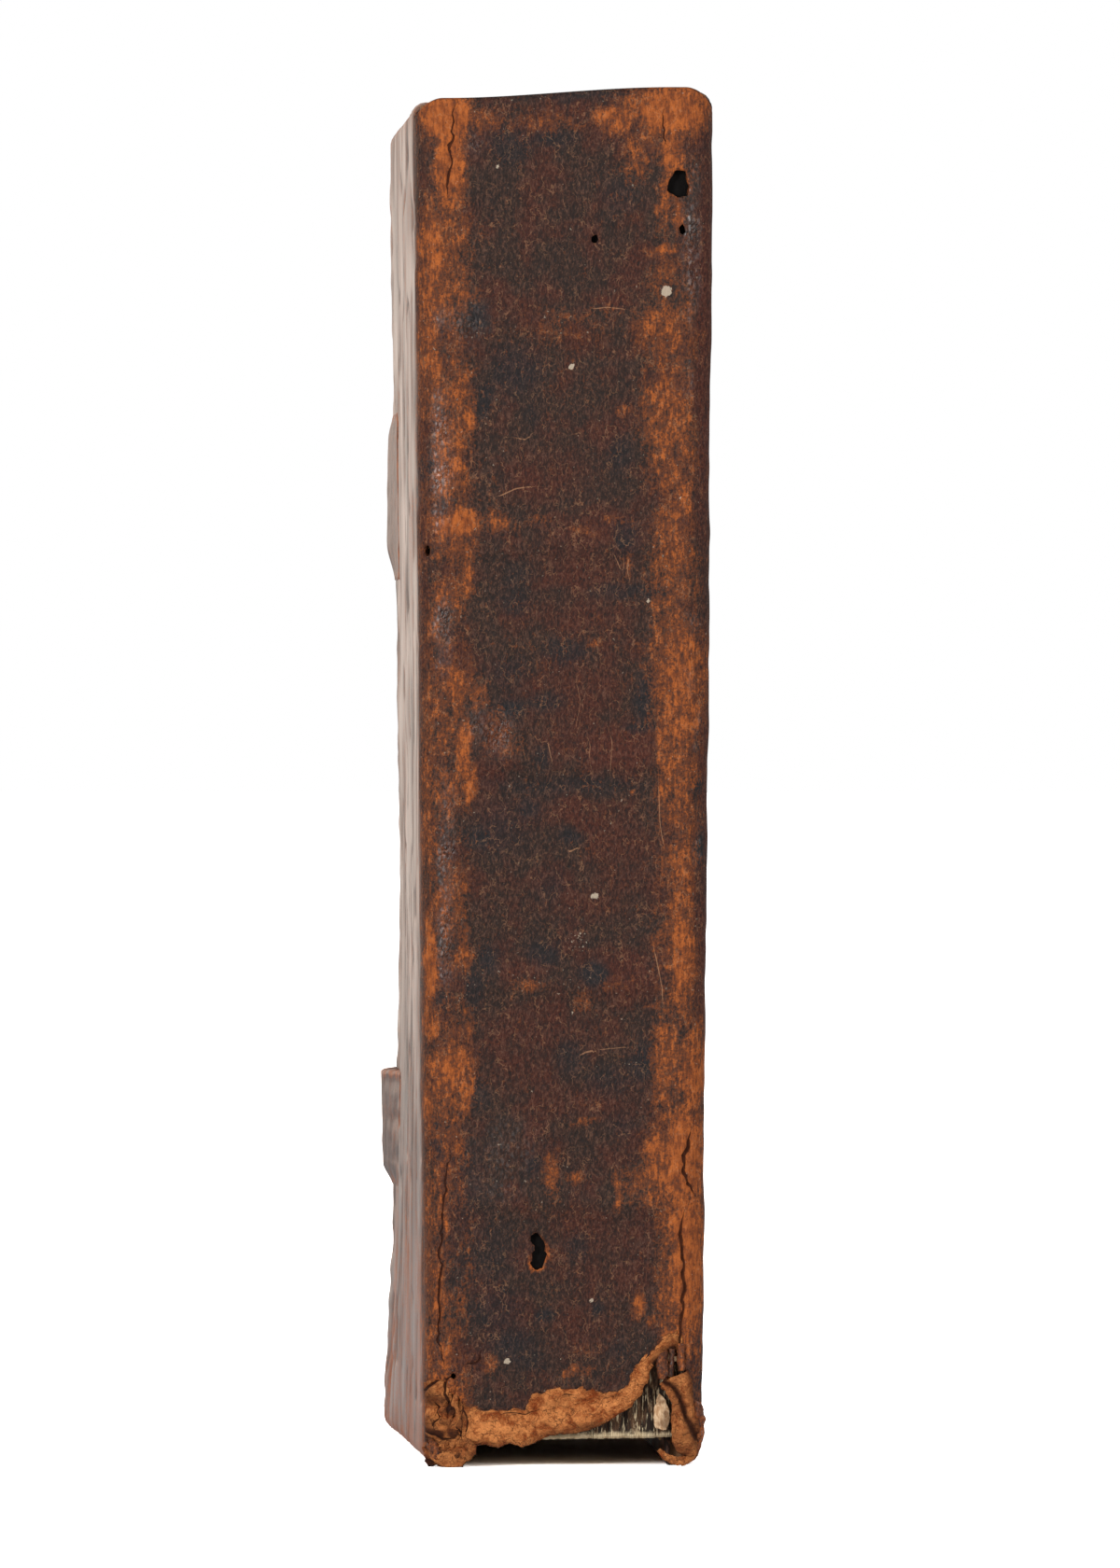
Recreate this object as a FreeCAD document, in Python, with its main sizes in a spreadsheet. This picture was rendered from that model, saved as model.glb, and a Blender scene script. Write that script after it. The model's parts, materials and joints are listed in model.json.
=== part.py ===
import FreeCAD, Part
import math
import operator
import os
import Sketcher

# An antique book bound in full leather. It stands on its tail, with its spine towards -Y and its fore-edge
# towards +Y. The front cover is on the +X side and the back cover on the -X side. The origin is the middle of
# the foot. Pieces are drawn from the joint line, where y is 0 and the covers meet the spine, and then moved.

# Driving dimensions in millimetres
SIZES = [
    ("cover_height", 195.5, "back cover from tail to head, over its leather"),
    ("front_rise", 1.6, "how much taller the front cover stands at the head"),
    ("cover_depth", 121.0, "joint line to fore-edge, over the leather"),
    ("thickness_head", 42.7, "whole book at the head, outer face to outer face"),
    ("thickness_tail", 39.6, "whole book at the tail, where it is pressed thinner"),
    ("spine_depth", 6.0, "how far the spine stands out behind the joint line"),
    ("shoulder_radius", 4.0, "round from the spine to each cover"),
    ("corner_radius", 5.0, "worn corners of the covers at the fore-edge"),
    ("warp_tail", 3.3, "how far the back cover's fore-edge stands out at the tail"),
    ("warp_low", 1.3, "how far it stands out at the lower station"),
    ("warp_head", 0.7, "how far it stands out at the head"),
    ("warp_low_height", 34.0, "lower station of the warp"),
    ("warp_flat_height", 80.0, "station where the back cover is flat"),
    ("leather_thick", 1.0, "covering leather"),
    ("board_thick", 3.6, "wooden board"),
    ("turn_in_thick", 0.6, "pared leather turned in over the board's edge"),
    ("turn_in_width", 13.0, "reach of the turned-in leather on the inner face"),
    ("pastedown_thick", 0.25, "paper pasted inside each cover"),
    ("pastedown_margin", 4.0, "leather left bare round the pastedown"),
    ("joint_gap", 0.3, "play between the shoulder and the cover that swings"),
    ("leaf_gap", 0.3, "air between the pastedown and the flyleaf"),
    ("flyleaf_thick", 0.3, "free endpaper"),
    ("leaf_play", 0.05, "air between the flyleaf and the leaves"),
    ("tail_square", 3.6, "how far the covers reach below the leaves"),
    ("head_square", 3.6, "how far the covers reach above the leaves"),
    ("fore_square", 3.5, "how far the covers reach past the fore-edge"),
    ("fore_hollow", 2.2, "depth of the hollow in the fore-edge"),
    ("lining_thick", 0.5, "paper lining glued to the spine folds"),
    ("paste_thick", 0.05, "paste under a lining or a pastedown"),
    ("band_rise", 0.35, "low raised band over each cord"),
    ("band_width", 5.0, "low raised band along the spine"),
    ("cord_radius", 1.1, "sewing cord"),
    ("cord_play", 0.05, "air round a cord and round its end in the board"),
    ("cord_first", 37.6, "height of the lowest cord"),
    ("cord_pitch", 31.35, "cord to cord"),
    ("cord_strip", 5.0, "unlined strip at each cord"),
    ("slip_length", 9.0, "flattened cord end that lies in the board"),
    ("slip_width", 2.6, "frayed width of that end"),
    ("slip_sink", 1.1, "depth of the channel that holds it"),
    ("cap_depth", 4.6, "leather hood over the head endband"),
    ("endband_radius", 1.0, "head endband with its wrapping"),
    ("endband_play", 0.1, "air behind the endband"),
    ("tear_left", 13.4, "left end of the torn tail, from the middle"),
    ("tear_sill", 3.3, "height of the torn edge along the left"),
    ("tear_bend", 2.7, "where the torn edge starts to climb, from the middle"),
    ("tear_peak", 13.1, "top of the tear, from the middle"),
    ("tear_peak_height", 13.7, "top of the tear, from the foot"),
    ("tear_right", 16.4, "right end of the torn tail, from the middle"),
    ("scrap_place", 13.9, "middle of the lining scrap in the tear, from the middle"),
    ("scrap_width", 3.0, "lining scrap across the spine"),
    ("scrap_low", 5.0, "lower end of the lining scrap"),
    ("scrap_length", 4.8, "lining scrap along the spine"),
    ("lining_low", 15.0, "where the rest of the lowest lining ends"),
    ("big_hole_place", 16.3, "largest worm hole, from the middle"),
    ("big_hole_height", 183.0, "largest worm hole, from the foot"),
    ("big_hole_radius", 1.7, "largest worm hole"),
    ("side_hole_place", 16.7, "worm hole under the largest one, from the middle"),
    ("side_hole_height", 176.6, "worm hole under the largest one, from the foot"),
    ("mid_hole_place", 4.3, "worm hole near the middle of the head panel"),
    ("mid_hole_height", 175.3, "worm hole near the middle of the head panel"),
    ("joint_hole_place", 18.6, "worm hole at the back joint, from the middle"),
    ("joint_hole_height", 131.0, "worm hole at the back joint"),
    ("small_hole_radius", 0.6, "each small worm hole"),
    ("slot_place", 3.8, "torn hole low on the spine, left of the middle"),
    ("slot_height", 31.0, "torn hole low on the spine, from the foot"),
    ("slot_radius", 1.2, "half the width of the torn hole"),
    ("slot_reach", 1.5, "half the length between its round ends"),
    ("strap_reach", 24.0, "strap stub from its root to the fore-edge"),
    ("strap_end", 0.3, "strap stub at its thin ends"),
    ("upper_strap_foot", 127.5, "lower end of the upper strap stub"),
    ("upper_strap_width", 25.5, "upper strap stub along the fore-edge"),
    ("upper_strap_thick", 1.3, "upper strap stub, worn flat"),
    ("upper_strap_low_slope", 4.0, "sloped part at its lower end"),
    ("upper_strap_high_slope", 14.0, "sloped part at its upper end"),
    ("lower_strap_foot", 36.5, "lower end of the lower strap stub"),
    ("lower_strap_width", 18.0, "lower strap stub along the fore-edge"),
    ("lower_strap_thick", 2.4, "lower strap stub, which has lifted"),
    ("lower_strap_low_slope", 6.5, "sloped part at its lower end"),
    ("lower_strap_high_slope", 0.8, "sloped part at its torn upper end"),
]
CORD_COUNT = 5
FRONT = 1
BACK = -1
SIGNS = {"+": operator.add, "-": operator.sub, "*": operator.mul, "/": operator.truediv}


class Size:
    """A size that knows its value now and its formula on the sheet."""

    def __init__(self, value, text):
        self.value = float(value)
        self.text = text

    def __add__(self, other):
        return joined(self, "+", other)

    def __sub__(self, other):
        return joined(self, "-", other)

    def __mul__(self, other):
        return joined(self, "*", other)

    def __truediv__(self, other):
        return joined(self, "/", other)

    def __rsub__(self, other):
        return joined(other, "-", self)

    def __neg__(self):
        return joined(0, "-", self)

    __radd__ = __add__
    __rmul__ = __mul__


def sized(number):
    return number if isinstance(number, Size) else Size(number, str(float(number)))


def joined(left, sign, right):
    left, right = sized(left), sized(right)
    return Size(SIGNS[sign](left.value, right.value), f"({left.text} {sign} {right.text})")


doc = FreeCAD.newDocument("antique_book")
sheet = doc.addObject("Spreadsheet::Sheet", "Sizes")
for row, (alias, number, meaning) in enumerate(SIZES, start=1):
    sheet.set(f"A{row}", meaning)
    sheet.set(f"B{row}", str(number))
    sheet.setAlias(f"B{row}", alias)
doc.recompute()


class Sheet:
    """The sheet's sizes by name."""


for alias, number, meaning in SIZES:
    setattr(Sheet, alias, Size(number, f"Sizes.{alias}"))
S = Sheet

NODES = []

# Places worked out from the driving dimensions
front_top = S.cover_height + S.front_rise
middle_top = S.cover_height + S.front_rise / 2
board_inner = S.leather_thick + S.board_thick
cover_inner = board_inner + S.turn_in_thick
paper_outer = cover_inner + S.paste_thick
paper_inner = paper_outer + S.pastedown_thick
leaves_inner = paper_inner + S.leaf_gap + S.flyleaf_thick + S.leaf_play
lining_outer = S.leather_thick + S.paste_thick
lining_inner = lining_outer + S.lining_thick
folds_depth = lining_inner + S.paste_thick
cord_depth = S.leather_thick + S.cord_play + S.cord_radius
head_slope = math.degrees(math.atan(S.front_rise.value / S.thickness_head.value))
head_slope_sine = math.sin(math.radians(head_slope))
head_slope_text = f"atan({S.front_rise.text} / {S.thickness_head.text})"
warp_stations = [
    (Size(0, "0"), S.warp_tail),
    (S.warp_low_height, S.warp_low),
    (S.warp_flat_height, Size(0, "0")),
    (S.cover_height, S.warp_head),
]


def half_thickness(height):
    """Mid-plane to the outer face at the joint line."""
    return (S.thickness_tail + (S.thickness_head - S.thickness_tail) * height / S.cover_height) / 2


def warp(side, height):
    """How far a cover's fore-edge stands out at a height. Only the back cover has warped."""
    if side == FRONT:
        return Size(0, "0")
    spans = list(zip(warp_stations, warp_stations[1:]))
    (low, out_low), (high, out_high) = [span for span in spans if span[0][0].value <= height.value][-1]
    return out_low + (out_high - out_low) * (height - low) / (high - low)


def cord_height(number):
    return S.cord_first + S.cord_pitch * number


def place(node, label, x=0, y=0):
    """Move a finished piece from the joint line, or from (x, y) of it, to the part's own origin, and list it."""
    node.Label = label
    NODES.append(node)
    strap_top = S.lower_strap_foot + S.lower_strap_width - S.lower_strap_high_slope
    back_reach = half_thickness(strap_top) + warp(BACK, strap_top) + S.lower_strap_thick
    front_reach = half_thickness(front_top)
    node.setExpression("Placement.Base.x", ((back_reach - front_reach) / 2 + x).text)
    node.setExpression("Placement.Base.y", ((S.spine_depth + S.band_rise - S.cover_depth) / 2 + y).text)
    return node


def new_body(name):
    return doc.addObject("PartDesign::Body", name)


def sketch_on(body, role, name, offset=0, slope=False):
    """A sketch on one of the body's own planes, moved along the plane's normal, and sloped like the head."""
    sketch = body.newObject("Sketcher::SketchObject", name)
    plane = next(feature for feature in body.Origin.OriginFeatures if feature.Role == role)
    sketch.AttachmentSupport = (plane, [""])
    sketch.MapMode = "FlatFace"
    offset = sized(offset)
    turn = FreeCAD.Rotation(FreeCAD.Vector(0, -1, 0), head_slope if slope else 0)
    sketch.AttachmentOffset = FreeCAD.Placement(FreeCAD.Vector(0, 0, offset.value), turn)
    sketch.setExpression("AttachmentOffset.Base.z", offset.text)
    if slope:
        sketch.setExpression("AttachmentOffset.Rotation.Angle", head_slope_text)
    return sketch


def pin(sketch, kind, geometry, point, amount):
    """Tie a point's distance from the sketch's origin to a size."""
    index = sketch.addConstraint(Sketcher.Constraint(kind, -1, 1, geometry, point, amount.value))
    sketch.setExpression(f"Constraints[{index}]", amount.text)


def draw(sketch, corners, closed=True):
    """Draw an outline. A corner is (x, y), or (x, y, cx, cy) where an arc about (cx, cy) leads on to the next."""
    corners = [tuple(sized(number) for number in corner) for corner in corners]
    pairs = list(zip(corners, corners[1:] + corners[:1])) if closed else list(zip(corners, corners[1:]))
    ends = []
    for here, there in pairs:
        start = FreeCAD.Vector(here[0].value, here[1].value, 0)
        end = FreeCAD.Vector(there[0].value, there[1].value, 0)
        if len(here) == 2:
            sketch.addGeometry(Part.LineSegment(start, end))
            ends.append((1, 2))
            continue
        centre = FreeCAD.Vector(here[2].value, here[3].value, 0)
        before, after = start - centre, end - centre
        forward = before.cross(after).z > 0
        first, last = (before, after) if forward else (after, before)
        circle = Part.Circle(centre, FreeCAD.Vector(0, 0, 1), before.Length)
        sketch.addGeometry(Part.ArcOfCircle(circle, math.atan2(first.y, first.x), math.atan2(last.y, last.x)))
        ends.append((1, 2) if forward else (2, 1))
    for index, (here, there) in enumerate(pairs):
        following = (index + 1) % len(pairs)
        if closed or following:
            sketch.addConstraint(
                Sketcher.Constraint("Coincident", index, ends[index][1], following, ends[following][0])
            )
        else:
            pin(sketch, "DistanceX", index, ends[index][1], there[0])
            pin(sketch, "DistanceY", index, ends[index][1], there[1])
        pin(sketch, "DistanceX", index, ends[index][0], here[0])
        pin(sketch, "DistanceY", index, ends[index][0], here[1])
        if len(here) == 4:
            pin(sketch, "DistanceY", index, 3, here[3])


def ring(sketch, x, y, radius):
    """Draw a circle."""
    centre = FreeCAD.Vector(sized(x).value, sized(y).value, 0)
    sketch.addGeometry(Part.Circle(centre, FreeCAD.Vector(0, 0, 1), radius.value))
    index = sketch.addConstraint(Sketcher.Constraint("Radius", 0, radius.value))
    sketch.setExpression(f"Constraints[{index}]", radius.text)
    pin(sketch, "DistanceX", 0, 3, sized(x))
    pin(sketch, "DistanceY", 0, 3, sized(y))


def loft(body, name, sketches, cut=False):
    """Join sections at rising heights with straight sides."""
    feature = body.newObject("PartDesign::SubtractiveLoft" if cut else "PartDesign::AdditiveLoft", name)
    feature.Profile = sketches[0]
    feature.Sections = sketches[1:]
    feature.Ruled = True
    return feature


def pocket(body, sketch, name, length=None, both_ways=False, turned=False):
    """Cut a sketch out of the body, to a length against or along its normal, or right through on both sides."""
    feature = body.newObject("PartDesign::Pocket", name)
    feature.Profile = sketch
    feature.Reversed = turned
    if both_ways:
        feature.SideType = "Symmetric"
        feature.Type = "ThroughAll"
    else:
        feature.Type = "Length"
        feature.setExpression("Length", length.text)
    return feature


# The covers: plan sections at a few heights, tied to the outer face


def cover_layer(body, name, side, low, high, near, far, outer, inner, cut=False):
    """A layer of a cover. It runs from near to far, and from outer to inner below the cover's outer face."""
    low, high = sized(low), sized(high)
    stations = [] if side == FRONT else [S.warp_low_height, S.warp_flat_height]
    heights = [low] + [height for height in stations if low.value < height.value < high.value] + [high]
    sections = []
    for number, height in enumerate(heights):
        section = sketch_on(body, "XY_Plane", f"{name}_plan_{number}", height)
        corners = []
        for y, depth in ((near, outer), (far, outer), (far, inner), (near, inner)):
            lean = warp(side, height) * (sized(y) / S.cover_depth)
            corners.append(((half_thickness(height) + lean - depth) * side, y))
        draw(section, corners)
        sections.append(section)
    return loft(body, name, sections, cut)


def cover_top(side):
    return front_top if side == FRONT else S.cover_height


def round_corners(body, name, side, inset):
    """Cut both fore-edge corners of a cover or its board round."""
    past = S.corner_radius
    radius = S.corner_radius - inset
    far = S.cover_depth - inset
    top = cover_top(side) - inset
    for end, edge, away in (("tail", inset, -1), ("head", top, 1)):
        sketch = sketch_on(body, "YZ_Plane", f"{name}_{end}_corner")
        centre_y = far - radius
        centre_z = edge - radius * away
        draw(sketch, [
            (far, centre_z, centre_y, centre_z),
            (centre_y, edge),
            (centre_y, edge + past * away),
            (far + past, edge + past * away),
            (far + past, centre_z),
        ])
        pocket(body, sketch, f"{name}_{end}_corner_cut", both_ways=True)


def board_body(name, side):
    """A plain wooden board, inside its leather."""
    body = new_body(name)
    edge = S.leather_thick
    cover_layer(
        body, f"{name}_plank", side, edge, cover_top(side) - edge, 0, S.cover_depth - edge, edge, board_inner
    )
    round_corners(body, name, side, sized(S.leather_thick))
    return body


def board(side, title):
    """The board with a channel for each cord end, open at its outer face and at the joint."""
    body = board_body(f"{title}_board", side)
    for number in range(CORD_COUNT):
        reach = S.slip_width / 2 + S.cord_play
        middle = cord_height(number)
        cover_layer(
            body, f"{title}_channel_{number + 1}", side, middle - reach, middle + reach,
            -S.joint_gap, S.slip_length + S.cord_play, S.leather_thick / 2, S.leather_thick + S.slip_sink,
            cut=True,
        )
    return place(body, f"{title}_board")


def cover_leather(side, title):
    """One skin over the outer face, the three edges and the turn-ins, with the board's space cut from it."""
    wrap = new_body(f"{title}_wrap")
    top = cover_top(side)
    cover_layer(wrap, f"{title}_skin", side, 0, top, 0, S.cover_depth, 0, cover_inner)
    margin = S.turn_in_width
    cover_layer(
        wrap, f"{title}_window", side, margin, top - margin, -S.joint_gap, S.cover_depth - margin,
        board_inner - S.leather_thick, cover_inner + S.leather_thick, cut=True,
    )
    round_corners(wrap, f"{title}_skin", side, Size(0, "0"))
    leather = doc.addObject("Part::Cut", f"{title}_leather")
    leather.Base = wrap
    leather.Tool = board_body(f"{title}_board_space", side)
    return place(leather, f"{title}_leather")


def pastedown(side, title):
    """Paper that lies on the board inside the turn-ins and laps over them."""
    body = new_body(f"{title}_pastedown")
    top = cover_top(side)
    width = S.turn_in_width
    margin = S.pastedown_margin
    thick = S.pastedown_thick
    near = S.joint_gap
    edge = width + S.paste_thick
    sunk = board_inner + S.paste_thick
    cover_layer(
        body, f"{title}_sunk", side, edge, top - edge, near, S.cover_depth - edge, sunk, paper_inner
    )
    cover_layer(
        body, f"{title}_lap", side, margin, top - margin, near, S.cover_depth - margin, paper_outer, paper_inner
    )
    inset = edge + thick
    cover_layer(
        body, f"{title}_hollow", side, inset, top - inset, 0, S.cover_depth - inset,
        sunk + thick, paper_inner + thick, cut=True,
    )
    return place(body, f"{title}_pastedown")


def cord_slip(side, title, number):
    """A cord's flattened end, pasted into its channel."""
    name = f"{title}_cord_slip_{number + 1}"
    body = new_body(name)
    middle = cord_height(number)
    play = S.cord_play
    cover_layer(
        body, f"{name}_strip", side, middle - S.slip_width / 2, middle + S.slip_width / 2, 0, S.slip_length,
        S.leather_thick + play, S.leather_thick + S.slip_sink - play,
    )
    return place(body, name)


def strap_stub(name, foot, width, thick, low_slope, high_slope):
    """What is left of a clasp strap, on the back cover's outer face beside the fore-edge."""
    body = new_body(name)
    head = foot + width
    steps = [(foot, S.strap_end), (foot + low_slope, thick), (head - high_slope, thick), (head, S.strap_end)]
    sections = []
    for number, (height, proud) in enumerate(steps):
        section = sketch_on(body, "XY_Plane", f"{name}_plan_{number}", height)
        corners = []
        for y, rise in ((S.cover_depth - S.strap_reach, 0), (S.cover_depth, 0), (S.cover_depth, proud),
                        (S.cover_depth - S.strap_reach, proud)):
            lean = warp(BACK, height) * (y / S.cover_depth)
            corners.append((-(half_thickness(height) + lean + rise), y))
        draw(section, corners)
        sections.append(section)
    loft(body, f"{name}_strip", sections)
    return place(body, name)


# The spine: nested U sections that follow the leather's outer face at a given depth


def spine_corners(height, depth, front):
    """Plan of the spine, at a depth below its outer face, closed across its front."""
    wide = half_thickness(height) - depth
    back = depth - S.spine_depth
    radius = S.shoulder_radius - depth
    return [
        (-wide, front),
        (-wide, back + radius, -wide + radius, back + radius),
        (-wide + radius, back),
        (wide - radius, back, wide - radius, back + radius),
        (wide, back + radius),
        (wide, front),
    ]


def spine_layer(body, name, low, high, depth, front, cut=False, sloped=False):
    """A solid with the spine's plan. Its head can slope with the covers' heads."""
    sections = []
    for number, height in enumerate((sized(low), sized(high))):
        section = sketch_on(body, "XY_Plane", f"{name}_plan_{number}", height, sloped and number == 1)
        draw(section, spine_corners(height, depth, front))
        sections.append(section)
    return loft(body, name, sections, cut)


def text_block():
    """All the leaves as one solid: shoulders at the spine, a hollow fore-edge and a groove for each cord."""
    body = new_body("text_block")
    low = S.tail_square
    high = middle_top - S.head_square
    front = -S.joint_gap
    spine_layer(body, "shoulders", low, high, folds_depth, front, sloped=True)
    far = S.cover_depth - S.fore_square
    sections = []
    for number, height in enumerate((low, high)):
        section = sketch_on(body, "XY_Plane", f"leaves_plan_{number}", height, slope=number == 1)
        wide = half_thickness(height) - leaves_inner
        fore_radius = (wide * wide + S.fore_hollow * S.fore_hollow) / (S.fore_hollow * 2)
        draw(section, [
            (-wide, front - S.lining_thick),
            (wide, front - S.lining_thick),
            (wide, far, 0, far - S.fore_hollow + fore_radius),
            (-wide, far),
        ])
        sections.append(section)
    loft(body, "leaves", sections)
    for number in range(CORD_COUNT):
        middle = cord_height(number)
        reach = S.cord_radius + S.cord_play
        groove = sketch_on(body, "XY_Plane", f"groove_{number + 1}_plan", middle + reach)
        draw(groove, spine_corners(middle, S.leather_thick, front))
        core = sketch_on(body, "XY_Plane", f"groove_{number + 1}_core", middle - reach)
        draw(core, spine_corners(middle, cord_depth + reach, front))
        pocket(body, groove, f"groove_{number + 1}", reach * 2)
        pad = body.newObject("PartDesign::Pad", f"groove_{number + 1}_floor")
        pad.Profile = core
        pad.setExpression("Length", (reach * 2).text)
    return place(body, "text_block")


def flyleaf(side, title):
    """A free endpaper beside the leaves, seated against the shoulder."""
    name = f"{title}_flyleaf"
    body = new_body(name)
    outer = paper_inner + S.leaf_gap
    sections = []
    for number, height in enumerate((S.tail_square, middle_top - S.head_square)):
        section = sketch_on(body, "XY_Plane", f"{name}_plan_{number}", height, slope=number == 1)
        wide = half_thickness(height) - outer
        far = S.cover_depth - S.fore_square
        thin = wide - S.flyleaf_thick
        draw(section, [
            (wide * side, -S.joint_gap),
            (wide * side, far),
            (thin * side, far),
            (thin * side, -S.joint_gap),
        ])
        sections.append(section)
    loft(body, f"{name}_sheet", sections)
    return place(body, name)


def sewing_cord(number):
    """A cord that lies in its groove round the back of the leaves, from shoulder to shoulder."""
    name = f"sewing_cord_{number + 1}"
    body = new_body(name)
    middle = cord_height(number)
    route = sketch_on(body, "XY_Plane", f"{name}_route", middle)
    draw(route, spine_corners(middle, cord_depth, -S.joint_gap), closed=False)
    section = sketch_on(body, "XZ_Plane", f"{name}_section", S.joint_gap)
    ring(section, cord_depth - half_thickness(middle), middle, S.cord_radius)
    pipe = body.newObject("PartDesign::AdditivePipe", f"{name}_rope")
    pipe.Profile = section
    pipe.Spine = (route, [f"Edge{edge + 1}" for edge in range(5)])
    return place(body, name)


def spine_lining(number):
    """Paper glued to the folds between two cords. The lowest one is torn off below the tear."""
    name = f"spine_lining_{number + 1}"
    body = new_body(name)
    low = S.lining_low if number == 0 else cord_height(number - 1) + S.cord_strip / 2
    last = number == CORD_COUNT
    high = middle_top - S.head_square if last else cord_height(number) - S.cord_strip / 2
    past = S.head_square
    spine_layer(body, f"{name}_sheet", low, high, lining_outer, -S.joint_gap, sloped=last)
    spine_layer(body, f"{name}_inside", low - past, high + past, lining_inner, past, cut=True)
    return place(body, name)


def lining_scrap():
    """A scrap of lining still stuck to the bare folds in the tear."""
    body = new_body("tail_lining_scrap")
    section = sketch_on(body, "XY_Plane", "scrap_plan", S.scrap_low)
    left = S.scrap_place - S.scrap_width / 2
    right = S.scrap_place + S.scrap_width / 2
    outside = lining_outer - S.spine_depth
    draw(section, [(left, outside), (right, outside), (right, outside + S.lining_thick),
                   (left, outside + S.lining_thick)])
    pad = body.newObject("PartDesign::Pad", "scrap_sheet")
    pad.Profile = section
    pad.setExpression("Length", S.scrap_length.text)
    return place(body, "tail_lining_scrap")


def endband():
    """The wrapped core at the head, hidden under the leather cap."""
    band = doc.addObject("Part::Cylinder", "head_endband")
    seat = middle_top - S.head_square
    length = (half_thickness(seat) - S.shoulder_radius) * 2
    band.setExpression("Radius", S.endband_radius.text)
    band.setExpression("Height", length.text)
    turn = FreeCAD.Rotation(FreeCAD.Vector(0, 1, 0), 90 - head_slope)
    band.Placement = FreeCAD.Placement(FreeCAD.Vector(0, 0, 0), turn)
    band.setExpression("Placement.Rotation.Angle", f"90 deg - {head_slope_text}")
    rise = Size(length.value / 2 * head_slope_sine, f"({length.text} / 2 * sin({head_slope_text}))")
    band.setExpression("Placement.Base.z", (seat + S.endband_radius - rise).text)
    behind = S.leather_thick + S.endband_play + S.endband_radius - S.spine_depth
    return place(band, "head_endband", -length / 2, behind)


def spine_leather():
    """The leather over the spine, with its cap, low bands, worm holes and torn tail."""
    body = new_body("spine_leather")
    front = -S.joint_gap
    thick = S.leather_thick
    spine_layer(body, "spine_skin", 0, middle_top, 0, front, sloped=True)
    for number in range(CORD_COUNT):
        raised_band(body, number)
    past = thick
    spine_layer(body, "spine_inside", -past, middle_top - thick, thick, past, cut=True, sloped=True)
    cap_front = S.cap_depth - S.spine_depth
    sections = []
    for number, height in enumerate((middle_top - thick * 2, middle_top + S.front_rise)):
        section = sketch_on(body, "XY_Plane", f"cap_opening_plan_{number}", height, slope=True)
        wide = half_thickness(height) - thick
        draw(section, [(-wide, cap_front), (wide, cap_front), (wide, past), (-wide, past)])
        sections.append(section)
    loft(body, "cap_opening", sections, cut=True)
    tear_and_holes(body)
    return place(body, "spine_leather")


def raised_band(body, number):
    """A low ridge across the flat of the spine, which fades above and below its cord."""
    middle = cord_height(number)
    reach = S.band_width / 2
    sections = []
    for place_number, (height, rise) in enumerate(((middle - reach, 0), (middle, S.band_rise), (middle + reach, 0))):
        section = sketch_on(body, "XY_Plane", f"raised_band_{number + 1}_plan_{place_number}", height)
        wide = half_thickness(height) - S.shoulder_radius - S.leather_thick
        outside = -S.spine_depth - rise
        inside = S.leather_thick / 2 - S.spine_depth
        draw(section, [(-wide, outside), (wide, outside), (wide, inside), (-wide, inside)])
        sections.append(section)
    loft(body, f"raised_band_{number + 1}", sections)


def tear_and_holes(body):
    """Cut the torn tail, the worm holes and the torn hole out of the back wall only."""
    reach = S.spine_depth + S.band_rise * 2
    below = S.leather_thick
    tear = sketch_on(body, "XZ_Plane", "tear_outline")
    draw(tear, [
        (-S.tear_left, -below),
        (-S.tear_left, S.tear_sill / 2),
        (-S.tear_left + S.tear_sill, S.tear_sill),
        (S.tear_bend, S.tear_sill),
        (S.tear_peak - S.tear_sill, S.tear_peak_height - S.tear_sill),
        (S.tear_peak, S.tear_peak_height),
        (S.tear_right, S.tear_peak_height / 2),
        (S.tear_right, -below),
    ])
    pocket(body, tear, "torn_tail", reach, turned=True)
    holes = [
        ("big_worm_hole", S.big_hole_place, S.big_hole_height, S.big_hole_radius),
        ("side_worm_hole", S.side_hole_place, S.side_hole_height, S.small_hole_radius),
        ("middle_worm_hole", S.mid_hole_place, S.mid_hole_height, S.small_hole_radius),
        ("joint_worm_hole", -S.joint_hole_place, S.joint_hole_height, S.small_hole_radius),
    ]
    for name, x, height, radius in holes:
        sketch = sketch_on(body, "XZ_Plane", f"{name}_outline")
        ring(sketch, x, height, radius)
        pocket(body, sketch, name, reach, turned=True)
    slot = sketch_on(body, "XZ_Plane", "torn_hole_outline")
    left, right = -S.slot_place - S.slot_radius, -S.slot_place + S.slot_radius
    low, high = S.slot_height - S.slot_reach, S.slot_height + S.slot_reach
    draw(slot, [
        (left, low, -S.slot_place, low),
        (-S.slot_place, low - S.slot_radius, -S.slot_place, low),
        (right, low),
        (right, high, -S.slot_place, high),
        (-S.slot_place, high + S.slot_radius, -S.slot_place, high),
        (left, high),
    ])
    pocket(body, slot, "torn_hole", reach, turned=True)


text_block()
spine_leather()
endband()
lining_scrap()
for cord in range(CORD_COUNT):
    sewing_cord(cord)
for panel in range(CORD_COUNT + 1):
    spine_lining(panel)
for cover_side, cover_title in ((FRONT, "front"), (BACK, "back")):
    flyleaf(cover_side, cover_title)
    board(cover_side, cover_title)
    cover_leather(cover_side, cover_title)
    pastedown(cover_side, cover_title)
    for cord in range(CORD_COUNT):
        cord_slip(cover_side, cover_title, cord)
strap_stub(
    "upper_strap_stub", S.upper_strap_foot, S.upper_strap_width, S.upper_strap_thick,
    S.upper_strap_low_slope, S.upper_strap_high_slope,
)
strap_stub(
    "lower_strap_stub", S.lower_strap_foot, S.lower_strap_width, S.lower_strap_thick,
    S.lower_strap_low_slope, S.lower_strap_high_slope,
)

doc.recompute()
for item in doc.Objects:
    if {"Invalid", "Error"} & set(item.State):
        raise RuntimeError(f"{item.Name} failed: {item.State}")
for node in NODES:
    if node.Shape.isNull() or not node.Shape.isValid():
        raise RuntimeError(f"{node.Label} has no valid shape")

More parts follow.
